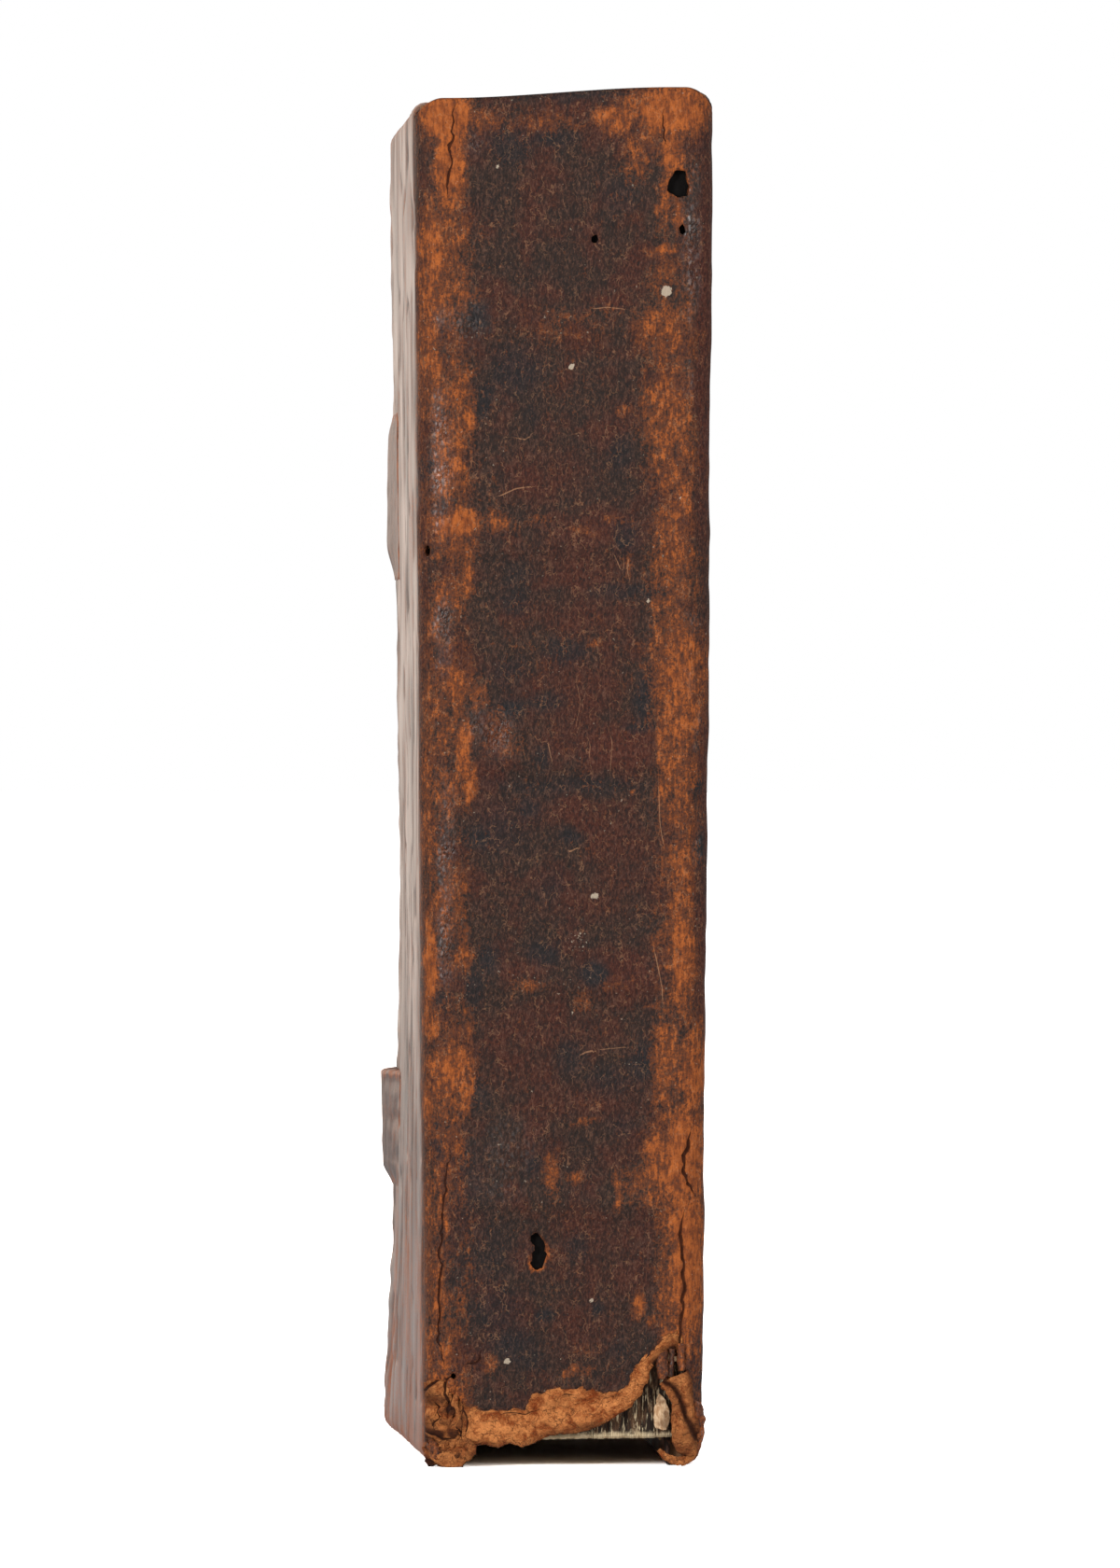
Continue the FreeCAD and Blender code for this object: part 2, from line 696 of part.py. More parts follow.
os.makedirs("parts", exist_ok=True)
for node in NODES:
    node.Shape.exportStep(f"parts/{node.Label}.step")
    print(node.Label, len(node.Shape.Solids), round(node.Shape.Volume, 1))
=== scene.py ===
"""Dresses an antique leather book: torn spine leather, worn covers, page edges, thread, straps and scraps.

Lengths are millimetres unless a name says otherwise. A mesh is turned to metres when it is made.
Places on the spine are x from the book's middle plane, and z up from the foot.
"""

import itertools
import json
import math

import bpy
import numpy as np
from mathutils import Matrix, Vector


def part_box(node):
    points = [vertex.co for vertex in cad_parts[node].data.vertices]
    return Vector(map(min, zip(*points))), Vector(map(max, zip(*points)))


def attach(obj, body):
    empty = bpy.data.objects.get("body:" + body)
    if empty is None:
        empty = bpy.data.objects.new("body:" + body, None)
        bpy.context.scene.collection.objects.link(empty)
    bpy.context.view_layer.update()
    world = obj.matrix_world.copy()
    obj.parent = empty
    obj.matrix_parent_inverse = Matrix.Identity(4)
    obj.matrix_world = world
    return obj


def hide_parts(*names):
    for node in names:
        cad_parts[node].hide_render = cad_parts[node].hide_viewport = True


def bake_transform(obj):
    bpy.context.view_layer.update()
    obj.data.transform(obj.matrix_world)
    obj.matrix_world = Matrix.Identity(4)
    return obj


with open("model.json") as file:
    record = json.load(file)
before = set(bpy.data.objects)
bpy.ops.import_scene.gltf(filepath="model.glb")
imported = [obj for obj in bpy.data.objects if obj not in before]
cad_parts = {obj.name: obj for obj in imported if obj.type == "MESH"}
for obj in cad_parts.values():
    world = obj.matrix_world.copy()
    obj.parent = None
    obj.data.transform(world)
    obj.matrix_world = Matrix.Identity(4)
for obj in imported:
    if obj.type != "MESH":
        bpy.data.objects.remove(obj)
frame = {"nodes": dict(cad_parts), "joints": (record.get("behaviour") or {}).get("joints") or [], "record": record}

bl_info = {
    "name": "Antique leather book",
    "version": (1, 0, 0),
    "blender": (4, 5, 0),
    "location": "3D View > Sidebar > Book",
    "description": "Builds the leather, leaves, thread and finishes of an old leather book",
    "category": "Object",
}

MM = 0.001


# Sizes read from the frame
def hinge(name):
    """One cover's joint from the frame."""
    return next(joint for joint in frame["joints"] if joint["name"] == name)


def low(node):
    """A node's lowest corner in millimetres."""
    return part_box(node)[0] / MM


def high(node):
    """A node's highest corner in millimetres."""
    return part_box(node)[1] / MM


FRONT_FOOT = hinge("front_cover_hinge")["pos_m"]
BACK_FOOT = hinge("back_cover_hinge")["pos_m"]
HINGE_AXIS = hinge("front_cover_hinge")["axis"]
JOINT_Y = FRONT_FOOT[1] / MM
MIDDLE = (FRONT_FOOT[0] + BACK_FOOT[0]) / 2 / MM
FOOT_HALF = (FRONT_FOOT[0] - BACK_FOOT[0]) / 2 / MM
LEAN = HINGE_AXIS[0] / HINGE_AXIS[2]
FORE_Y = high("front_leather").y
HEAD_BACK = high("back_leather").z
HEAD_FRONT = high("front_leather").z
CORDS = [(low(f"sewing_cord_{n}").z + high(f"sewing_cord_{n}").z) / 2 for n in range(1, 6)]
BAND_RISE = 0.35
SPINE_Y = low("spine_leather").y + BAND_RISE
SHOULDER = 4.0
COVER_THICK = 5.2
BACK_WARP = ((0.0, 3.3), (34.0, 1.3), (80.0, 0.0), (HEAD_BACK, 0.7))
SEAM_Y = JOINT_Y - 1.0


def half(z):
    """Half the book's thickness at a height."""
    return FOOT_HALF + LEAN * z


def smooth(start, end, value):
    """0 before start, 1 after end and an even ease between them."""
    share = np.clip((value - start) / (end - start), 0.0, 1.0)
    return share * share * (3.0 - 2.0 * share)


NOISE_STEPS = (73856093, 19349663, 83492791)
NOISE_VALUES = 4096


def ripple(seed, *axes):
    """Smooth random waves from -1 to 1, one wave for each step of the coordinates."""
    values = np.random.default_rng(seed).uniform(-1.0, 1.0, NOISE_VALUES)
    cells = [np.floor(axis).astype(np.int64) for axis in axes]
    eases = [smooth(0.0, 1.0, axis - cell) for axis, cell in zip(axes, cells)]
    total = 0.0
    for corner in itertools.product((0, 1), repeat=len(axes)):
        index = 0
        weight = 1.0
        for step, cell, ease, prime in zip(corner, cells, eases, NOISE_STEPS):
            index = index ^ ((cell + step) * prime)
            weight = weight * (ease if step else 1.0 - ease)
        total = total + weight * values[index & (NOISE_VALUES - 1)]
    return total


def waves(x, z, *ripples):
    """A sum of ripples, each given as its height, its seed and its length along both axes."""
    return sum(height * ripple(seed, x / wide, z / tall) for height, seed, wide, tall in ripples)


def patches_at(patches, x, z):
    """The strongest of some soft-edged patches at each point: x, z, half width, half height, strength."""
    strongest = np.zeros_like(x)
    for patch_x, patch_z, wide, tall, strength in patches:
        reach = np.hypot((x - patch_x) / wide, (z - patch_z) / tall) * 0.93
        strongest = np.maximum(strongest, strength * (1.0 - smooth(0.35, 1.55, reach)))
    return strongest


FAR_OFF = 30.0


def nearest_line(lines, x, z):
    """Signed distance in line widths, and in millimetres, to the nearest of some tapering lines."""
    best, widths = np.full_like(x, 1e6), np.full_like(x, 1e6)
    for points, width in lines:
        points = np.array(points, float)
        steps = np.diff(points, axis=0)
        lengths = np.hypot(steps[:, 0], steps[:, 1])
        run = np.concatenate(([0.0], np.cumsum(lengths)))
        for start, step, length, before in zip(points, steps, lengths, run):
            along = np.clip(((x - start[0]) * step[0] + (z - start[1]) * step[1]) / length**2, 0, 1)
            off_x = x - start[0] - along * step[0]
            off_z = z - start[1] - along * step[1]
            distance = np.hypot(off_x, off_z)
            side = np.where(step[0] * off_z < step[1] * off_x, -1.0, 1.0)
            share = (before + along * length) / run[-1]
            taper = width * np.clip(6.0 * np.minimum(share, 1.0 - share), 0.15, 1.0)
            closer = distance < np.abs(best)
            best = np.where(closer, distance * side, best)
            widths = np.where(closer, distance / taper * side, widths)
    return np.clip(widths, -FAR_OFF, FAR_OFF), best


# What the years left on the spine: x, z, half width, half height, strength
SPINE_WEAR = (
    (-17, 192.6, 3.9, 3.6, 1.3), (-11.5, 192.3, 2.8, 2, 0.62), (-16.3, 185.5, 2.4, 6, 1.1),
    (-18.9, 172, 2.2, 9.5, 0.82), (-14.8, 176.8, 2.8, 3.2, 0.55), (-16.5, 170.5, 1.6, 6, 0.5),
    (-13.5, 167, 1.8, 1.1, 0.62), (-19.4, 161.5, 1.7, 2.4, 0.75), (-19.2, 157.6, 1.6, 1.9, 0.78),
    (-18.4, 153.4, 1.8, 2, 0.5), (-13.5, 149.8, 1, 2.6, 0.62), (-15.6, 134.4, 3.7, 1.9, 0.97),
    (-14.6, 131, 2.6, 2.5, 0.6), (-9.4, 134.6, 2.4, 1.4, 0.52), (-9.4, 104, 3.2, 3, 0.4),
    (-17, 143, 2.4, 7, 0.5), (-3.6, 134.8, 1.5, 0.8, 0.52), (3, 133.8, 2.2, 0.9, 0.48),
    (7.4, 135, 3, 0.6, 0.55), (-13.6, 127, 1, 2.6, 0.78), (-17, 124.4, 2.2, 2.6, 0.58),
    (-18.6, 119.4, 1.4, 3.4, 0.58), (-19.3, 100, 1, 22, 0.5), (-15.2, 111.5, 3.2, 2.6, 0.74),
    (-12.3, 110, 1.3, 2, 0.72), (-10.1, 107, 1.2, 1.6, 0.52), (-14.4, 102, 1.2, 4.8, 0.82),
    (-17.6, 103, 1.8, 3, 0.46), (-13.5, 97, 0.9, 3.8, 0.76), (-16.8, 95.6, 2.2, 4.6, 0.5),
    (-14.2, 82.4, 0.8, 1, 0.75), (-17.4, 80, 2, 1.6, 0.55), (-19.3, 72.5, 1, 8, 0.97),
    (-14.3, 73.6, 0.9, 3.8, 0.6), (-18.8, 63, 1.4, 2.6, 0.92), (-13.8, 62.4, 0.7, 2.2, 0.62),
    (-16, 57, 3.5, 3.7, 0.8), (-14, 53, 1, 2.6, 0.78), (-19.3, 52, 0.9, 4.5, 0.6),
    (-15.6, 46, 1, 3.8, 0.56), (-19.2, 35, 0.8, 4.2, 0.5), (-17.2, 36.5, 0.8, 5, 0.6),
    (-17.8, 25, 1.1, 6.5, 0.76), (-17, 16, 1.2, 2.6, 0.85), (-18, 7, 3.4, 6.4, 1.1),
    (-11, 14.5, 1.5, 1.2, 0.62), (15, 193.8, 6.6, 3.8, 1.05), (7.2, 192.3, 3.8, 1.9, 0.92),
    (-2.5, 192.3, 5, 1.5, 0.5), (10, 187.6, 2.2, 3.2, 0.56), (15.3, 187.6, 1.5, 3.8, 0.8),
    (14.4, 181, 1, 3.6, 0.62), (16.4, 178.4, 0.7, 2.6, 0.85), (13.7, 173.6, 3.2, 0.8, 0.92),
    (13.8, 170, 3, 3.2, 0.52), (13.8, 162.4, 3.8, 4.4, 0.68), (1, 162.5, 6.6, 2.4, 0.27),
    (6.8, 165.2, 2.6, 0.3, 0.9), (14.8, 150, 3.8, 7.6, 0.76), (8.3, 150.6, 0.8, 0.9, 0.5),
    (14.4, 142.4, 2.8, 3.2, 0.66), (17, 138.4, 1.4, 2.8, 0.74), (15.8, 127, 3.6, 8.4, 0.72),
    (9, 128.4, 0.4, 1.9, 0.7), (16.4, 115, 4.4, 6.2, 0.86), (16.6, 107, 3.2, 5, 0.78),
    (14, 105, 0.9, 2.6, 0.8), (16.8, 99.5, 3.2, 4.4, 0.6), (16.7, 93, 2.8, 4.4, 0.56),
    (16.8, 86.5, 2.6, 3.6, 0.84), (17.2, 80.5, 2.3, 3.8, 0.8), (4.3, 117.8, 1, 0.5, 0.62),
    (9.5, 96.3, 0.5, 0.5, 0.75), (16.8, 73.5, 2, 8.4, 1), (12.8, 74.5, 0.4, 1.4, 0.7),
    (12.3, 65.5, 1.2, 0.4, 0.85), (14.2, 58.5, 2.3, 6.6, 0.66), (18.3, 57, 2, 8.4, 0.78),
    (20, 57, 0.8, 4.5, 0.95), (17.6, 44.5, 3.3, 7.4, 1), (13.4, 44, 2.4, 5, 0.7), (10.3, 41, 3, 2.4, 0.58),
    (12, 38.3, 3.6, 1.6, 0.5), (17.8, 29, 2.6, 13, 1), (14.6, 24, 1.2, 6, 0.5), (10.6, 23, 1.1, 1.8, 0.85),
    (12.5, 20.4, 1.2, 1, 0.8), (16, 17.5, 3, 2.8, 0.9), (18.6, 8, 1.6, 8.5, 0.4),
    (-4.5, 68.5, 3, 1.3, 0.52), (7.5, 69, 3, 0.8, 0.42), (2.5, 66.8, 1.5, 1.6, 0.52),
    (3, 49.1, 2.3, 0.6, 0.62), (3.5, 51.8, 2, 0.5, 0.46), (-1.9, 42.4, 1.2, 3.2, 0.72),
    (1.8, 41.8, 1.3, 1, 0.6), (7.3, 39.4, 0.6, 3, 0.85), (1.5, 13.8, 2.6, 0.9, 0.52), (3, 17, 2.2, 1, 0.3),
)
SPINE_DARK = (
    (-8, 188.8, 3, 2.6, 0.8), (-2, 190, 3, 1.3, 0.85), (8, 181.5, 2.6, 2.6, 0.5),
    (-12.2, 163.5, 1.2, 2.6, 0.95), (-7, 156.4, 3.6, 3.6, 0.8), (-11.5, 152, 1, 2.6, 0.85),
    (7.6, 144.6, 1.7, 2.6, 0.7), (-5, 150, 1.6, 1.6, 0.5), (8.8, 132.5, 1.7, 2.6, 0.75),
    (-7, 127, 2, 2, 0.5), (9.2, 124.9, 4.6, 1, 0.75), (-7.4, 123.4, 2, 1.7, 0.65), (0.4, 116.4, 3, 2, 0.85),
    (-8, 113.4, 2.6, 2, 0.62), (-7.8, 108.2, 2.3, 1.5, 1.1), (-3, 109, 3, 1.2, 0.72),
    (11.3, 109.4, 1.5, 3.4, 1), (10.5, 105.4, 2.4, 0.7, 1), (-3.2, 101, 1.2, 1.6, 0.75),
    (0, 97.4, 12.5, 1.2, 0.62), (-5.5, 94, 1.6, 1.6, 0.85), (-9, 91, 3.2, 3.2, 0.6),
    (-12.5, 89.4, 2, 1.6, 0.95), (1, 89.8, 1.6, 1.2, 1), (-1.5, 83, 2.2, 2, 0.5),
    (-10.8, 72.4, 1.4, 2.1, 1), (-13, 68.4, 1.3, 3, 0.85), (-3, 73.4, 2, 1.6, 0.9),
    (4, 70.6, 1.6, 1.7, 1.25), (-17.5, 67, 1, 1.6, 0.75), (1, 58, 2.2, 2.6, 0.62),
    (10.9, 57.4, 1.6, 2.6, 0.95), (6, 55.4, 3.2, 1.6, 0.62), (-12, 53, 1.6, 1.6, 0.65),
    (-17.8, 47, 1.4, 2.6, 0.9), (8, 49, 1.6, 1.6, 0.5), (-4.5, 43, 1.4, 2, 0.75), (-14, 40, 2, 6, 0.5),
    (-2.5, 21.8, 1.4, 0.9, 1), (4.6, 22.8, 0.9, 0.9, 1), (-10, 22, 4, 3.2, 0.62),
    (-8, 17.4, 3.2, 2.6, 0.75), (-4.4, 15.4, 2, 1.2, 0.65), (8, 17, 1.6, 1.6, 0.5), (-12, 30, 5, 6, 0.42),
    (2, 31, 1.6, 1.6, 0.62), (-19.6, 142.4, 1.5, 1.6, 0.9), (19.2, 97, 0.8, 1.3, 1.1),
    (19.4, 89, 0.8, 3, 1), (19, 107, 0.5, 0.9, 1.1), (18.8, 103.4, 0.6, 1.6, 1), (-20, 92.4, 0.9, 1.2, 1),
    (0, 196, 9.5, 1, 0.6), (19.2, 8, 1.5, 9, 0.9),
)
SPINE_WARM = (
    (7, 166.4, 3, 0.9, 1.2), (0.5, 193.8, 4.5, 1.4, 0.9), (-2, 142, 6, 3.2, 0.5), (7, 134, 3.6, 3, 0.65),
    (3, 128, 6, 3, 0.75), (-1, 130.6, 4, 3, 0.5), (3, 121.4, 7, 2, 0.75), (3, 111.4, 5, 3, 0.85),
    (-4.4, 111.4, 1.8, 1.8, 0.9), (7.6, 103, 5.8, 3.2, 1.15), (0, 104, 3.2, 3.2, 0.75),
    (0, 93.4, 10, 2.2, 0.6), (8, 86, 4, 5, 0.65), (3, 80, 6, 2.2, 0.5), (9, 69.4, 5, 3, 0.95),
    (-5, 71.4, 3.2, 1.6, 0.75), (-2, 62.4, 8, 3, 0.62), (-6, 57, 5, 3, 0.62), (5, 52, 8, 2.2, 0.62),
    (-3, 44.4, 3, 3, 0.5), (5, 33, 6, 3.2, 0.5), (8, 28, 6, 5, 0.42), (3, 20, 5, 4, 0.5),
    (20.4, 157, 1.5, 27, 1.3), (20.4, 104, 1.2, 16, 1.2), (20.3, 72, 1.6, 11, 1.3),
    (-20.4, 150, 1, 34, 0.9),
)
SPINE_GLOSS = (
    (-17.5, 143.4, 1.6, 8.4, 1), (-17.2, 119, 1.3, 5, 0.75), (-9.4, 104.2, 2.2, 2.6, 1),
    (-12.6, 106, 2.2, 2.2, 0.85), (-16.8, 88, 1.1, 8, 0.85), (-16.8, 75, 1.1, 5.2, 1.1),
    (19, 89.4, 0.6, 3.2, 0.9), (-8.4, 46, 4, 3.2, 0.55), (-9, 41.4, 3.2, 3.2, 0.5), (18.3, 174, 1, 9, 0.95),
    (18.4, 120.4, 0.9, 1.7, 0.85), (17.8, 112, 0.8, 1.9, 0.65), (18.8, 105, 0.5, 3, 0.75),
    (18, 155.4, 0.8, 2.2, 0.65), (-13, 189, 1.3, 1.6, 0.75), (-13.4, 163, 2.2, 2.6, 0.8),
    (-16.6, 164, 1.6, 1.6, 0.65),
)
SPINE_PALE = (
    (14.5, 167.8, 0.8, 0.8, 1), (1, 157.1, 0.35, 0.35, 1.3), (3.8, 158.8, 0.25, 0.25, 1.1),
    (5.7, 90.6, 0.3, 0.3, 1), (-8.2, 15.1, 0.4, 0.4, 1.3), (3.8, 23.8, 0.3, 0.3, 0.9),
    (16.4, 138.5, 0.25, 0.25, 1.3), (4.3, 81.5, 0.7, 0.6, 0.8), (1.2, 64.6, 0.3, 0.3, 1),
    (-9.6, 185.4, 0.35, 0.35, 0.9), (12, 123.8, 0.4, 0.35, 0.8), (-0.6, 15.4, 0.5, 0.4, 0.5),
    (2, 75, 2.4, 2.6, 0.38), (-7.8, 170, 0.3, 0.3, 0.8), (-4.6, 53.7, 0.3, 0.3, 0.9),
)
# Low swellings whose left sides catch the light: x, z, half width, half height, height
SPINE_SWELLS = (
    (-15.9, 143, 1.6, 10, 0.36), (-15.5, 119, 1.4, 7, 0.3), (-7.5, 103.6, 2, 3.4, 0.42),
    (-11, 106.4, 1.6, 3, 0.3), (-15.4, 84, 1.3, 15, 0.28), (-7, 44, 3.4, 4.4, 0.4),
    (17.2, 172, 1, 12, 0.25),
)
# Each line's points as x, z, and its half width
SPINE_CRACKS = (
    (((-15.2, 195), (-15.9, 193), (-15.9, 191), (-16.4, 188.2), (-16, 186.5),
      (-16.2, 185.3), (-16.7, 182.5), (-16.5, 181)), 0.16),
    (((-16.3, 46), (-16.6, 42), (-17.2, 38.5), (-17.6, 33), (-17.9, 30.5), (-17.7, 28),
      (-17.8, 22), (-18.1, 18), (-17.5, 15.5), (-16.6, 13.6)), 0.16),
    (((18.2, 48), (17.8, 46), (17.2, 44.6), (17.1, 42), (17.6, 40.8),
      (18.7, 38.6)), 0.27),
    (((17.1, 37), (16.6, 33), (17, 29.4), (17.1, 24.6), (16.4, 20.4), (16.9, 17),
      (17.2, 13.6)), 0.27),
    (((-15.9, 13.2), (-17.1, 12.2), (-17.2, 10.4), (-16.4, 8.6), (-16.7, 7)), 0.26),
    (((-15.2, 11), (-15.8, 9.4), (-15.2, 7.8), (-15.8, 6.2), (-15.1, 4.8), (-15.6, 3.2)), 0.26),
    (((-19.9, 4), (-18.5, 4.5), (-17.2, 3.8), (-15.9, 4)), 0.24),
    (((-14.3, 9), (-14, 6.4), (-14.5, 4.4)), 0.16),
    (((-19.9, 10.4), (-19, 12), (-17.7, 12.3)), 0.2),
    (((-18.6, 9.4), (-18.2, 7.2), (-18.6, 5.2)), 0.12),
    (((-14.2, 14.4), (-12.6, 14.9), (-11.7, 16.4)), 0.16),
    (((-9.2, 7.4), (-7.4, 7.9), (-5.4, 7.5), (-3.9, 8.4)), 0.09),
    (((-0.2, 10.2), (1.6, 10.5)), 0.12),
    (((14.2, 194), (14, 191), (14.6, 188.6)), 0.1),
    (((9.9, 14.6), (10.6, 13.4), (10.3, 11.6), (8.6, 10.3), (6.4, 10.2)), 0.2),
)
SPINE_SCRATCHES = (
    (((2.1, 58.4), (2.7, 59.1), (4.4, 59.5)), 0.16),
    (((4.4, 59.5), (9.5, 60)), 0.06),
    (((12.6, 74.8), (13.4, 71), (13.9, 68.4), (14, 65.4)), 0.1),
    (((-7, 146.8), (-5.6, 146.6), (-4.6, 147.4)), 0.12),
    (((-10, 138.2), (-7, 139.6), (-4.2, 140)), 0.12),
    (((9.2, 129.8), (8.9, 128), (9.2, 126.6)), 0.14),
    (((7, 130.4), (8.2, 127.6)), 0.08),
    (((3.9, 165.2), (6, 165.5), (9, 165.2)), 0.1),
    (((0.2, 88.2), (0.8, 87.8), (2.2, 88.6)), 0.14),
    (((-2.4, 103.6), (-2.1, 102), (-1.8, 100.4)), 0.09),
    (((3.1, 104.6), (3.7, 103), (3.4, 101)), 0.05),
    (((6.1, 106.2), (6.8, 103.4), (6.4, 98.2)), 0.05),
    (((1.6, 112.6), (2.3, 109), (1.5, 105.4)), 0.04),
    (((13.4, 98), (13.6, 92), (14.2, 88)), 0.08),
)
TORN_EDGE = (
    (-14.7, -3), (-14.3, 0.6), (-13.4, 2.2), (-12.6, 3.2), (-9.6, 2.9), (-7.6, 3.3), (-5.8, 2.8), (-4, 3.6),
    (-1.6, 4.5), (1.6, 4.9), (4, 5.4), (6.5, 6.7), (8.4, 8.3), (10, 9.7), (11.4, 12.2), (12.6, 14.6),
    (13.6, 16.2), (15.6, 16.6), (17, 15.6), (17.4, 12), (17.6, 6), (17.4, -3),
)
FOLD_LINE = (
    (2, 6.6), (5, 7.4), (7.6, 9), (9.6, 10.9), (10.9, 13.2), (12, 15.4), (13.6, 17.2),
)
GRAIN_EDGE = (
    (-20.8, 12), (-17.6, 12.4), (-14.9, 9.2), (-12.4, 8.2), (-8, 8.2), (-5.4, 8.3), (-4.8, 10.4),
    (-0.5, 11.2), (3, 11.2), (6, 10.6), (9.4, 10.6), (10.4, 13.8), (11.2, 15.4), (13.4, 17.6), (15, 19.4),
    (16.9, 18.6), (17.5, 4), (17.9, 0), (20.8, -2),
)
# Holes that beetles and a knock left: x, z, half width, half height
WORM_HOLES = (
    (16.3, 183, 1.55, 1.95), (16.7, 176.6, 0.5, 0.8), (4.3, 175.2, 0.62, 0.62), (-19.6, 130.8, 0.5, 0.8),
    (-15.9, 13, 0.45, 0.45),
)
KNOCK_HOLE = ((-4.2, 32.6), (-3.5, 31.6), (-3.6, 30.2), (-4, 28.9))
KNOCK_WIDTHS = (0.75, 0.7, 1.3, 1)


def under(edge, x, z):
    """How far a point lies above an edge given from left to right, by height."""
    points = np.array(edge, float)
    return z - np.interp(x, points[:, 0], points[:, 1])


def distance_to(line, x, z):
    """Distance in millimetres to a line of points."""
    return np.abs(nearest_line(((line, 1.0),), x, z)[1])


def torn_outline(x, z):
    """Distance above the torn tail: under zero the leather is gone."""
    gap = distance_to(TORN_EDGE, x, z)
    inside = (x > TORN_EDGE[0][0]) & (x < TORN_EDGE[-1][0]) & (under(TORN_EDGE, x, z) < 0)
    ragged = waves(x, z, (0.16, 41, 0.7, 0.7), (0.1, 42, 0.25, 0.25))
    return np.where(inside, -gap, gap) + ragged


def hole_field(x, z):
    """Distance from the worm holes and the torn hole: under zero the leather is gone."""
    field = np.full_like(x, 99.0)
    for hole_x, hole_z, wide, tall in WORM_HOLES:
        angle = np.arctan2(z - hole_z, x - hole_x)
        ragged = 1.0 + 0.12 * np.sin(3 * angle + hole_x) + 0.07 * np.sin(7 * angle + hole_z)
        reach = np.hypot((x - hole_x) / wide, (z - hole_z) / tall) - ragged
        field = np.minimum(field, reach * min(wide, tall))
    for (hole_x, hole_z), wide in zip(KNOCK_HOLE, KNOCK_WIDTHS):
        reach = np.hypot((x - hole_x) / wide, (z - hole_z) / 0.8) - 1.0
        field = np.minimum(field, reach * 0.7 + 0.2 * ripple(43, x / 0.45, z / 0.45))
    return field


# The spine's own form
ROW_TAIL = 0.34
ROW_BODY = 0.66
TAIL_ROWS_TO = 19.0
SIDE_COLUMNS = 3
ARC_COLUMNS = 16
FLAT_COLUMNS = 91
EDGE_ROUND = 0.8
CAP_INSET = 3.3
CAP_DROP = 3.0
LEATHER = 1.0


def head_at(x):
    """Height of the sloped head across the book."""
    share = np.clip((x / half(HEAD_BACK) + 1.0) / 2.0, 0.0, 1.0)
    level = HEAD_BACK + (HEAD_FRONT - HEAD_BACK) * smooth(0.1, 0.86, share)
    worn = np.clip((np.abs(x) - 17.3) / 4.1, 0.0, 0.99)
    return level - np.where(x > 0, 3.4, 3.0) * (1.0 - np.sqrt(1.0 - worn**2))


def spine_base(s, z):
    """A point of the plain spine and the way out from it: s is the distance round from the middle."""
    flat = half(z) - SHOULDER
    over = np.clip(np.abs(s) - flat, 0.0, None)
    turn = np.clip(over / SHOULDER, 0.0, math.pi / 2)
    past = np.clip(over - SHOULDER * math.pi / 2, 0.0, None)
    side = np.sign(s)
    x = side * (np.minimum(np.abs(s), flat) + SHOULDER * np.sin(turn))
    y = SPINE_Y + SHOULDER * (1.0 - np.cos(turn)) + past
    return x, y, side * np.sin(turn), -np.cos(turn)


def foot_lift(x, y, z):
    """The worn lower corners beside the joints: heights near the foot rise towards each side."""
    across = np.clip((np.abs(x) - 16.0) / 3.8, 0.0, 0.99)
    lift = np.where(x > 0, 4.5, 1.5) * (1.0 - np.sqrt(1.0 - across**2)) * smooth(SEAM_Y + 5.0, SEAM_Y, y)
    return z + lift * np.clip(1.0 - z / 9.0, 0.0, 1.0)


def seam_wobble(side, z):
    """The small waves of the outline where the spine's leather goes over into a cover's."""
    return 0.13 * ripple(47 + side, z / 7.0) + 0.06 * ripple(49 + side, z / 2.3)


def jagged(x, z):
    """A point moved a little, so that what follows a line there turns ragged."""
    moved_x = x + waves(x, z, (0.34, 51, 1.2, 1.2), (0.12, 52, 0.5, 0.5))
    return moved_x, z + 0.3 * ripple(53, x / 1.2, z / 1.2)


def crack_relief(lines, x, z):
    """Cracks cut down between two lifted lips."""
    steps, distance = nearest_line(lines, x, z)
    shown = np.clip(np.abs(distance) / (np.abs(steps) + 1e-6), 0.0, 0.25) / 0.2
    return shown * (0.14 * np.exp(-((distance / 0.75) ** 2)) - 0.5 * np.exp(-((distance / 0.24) ** 2)))


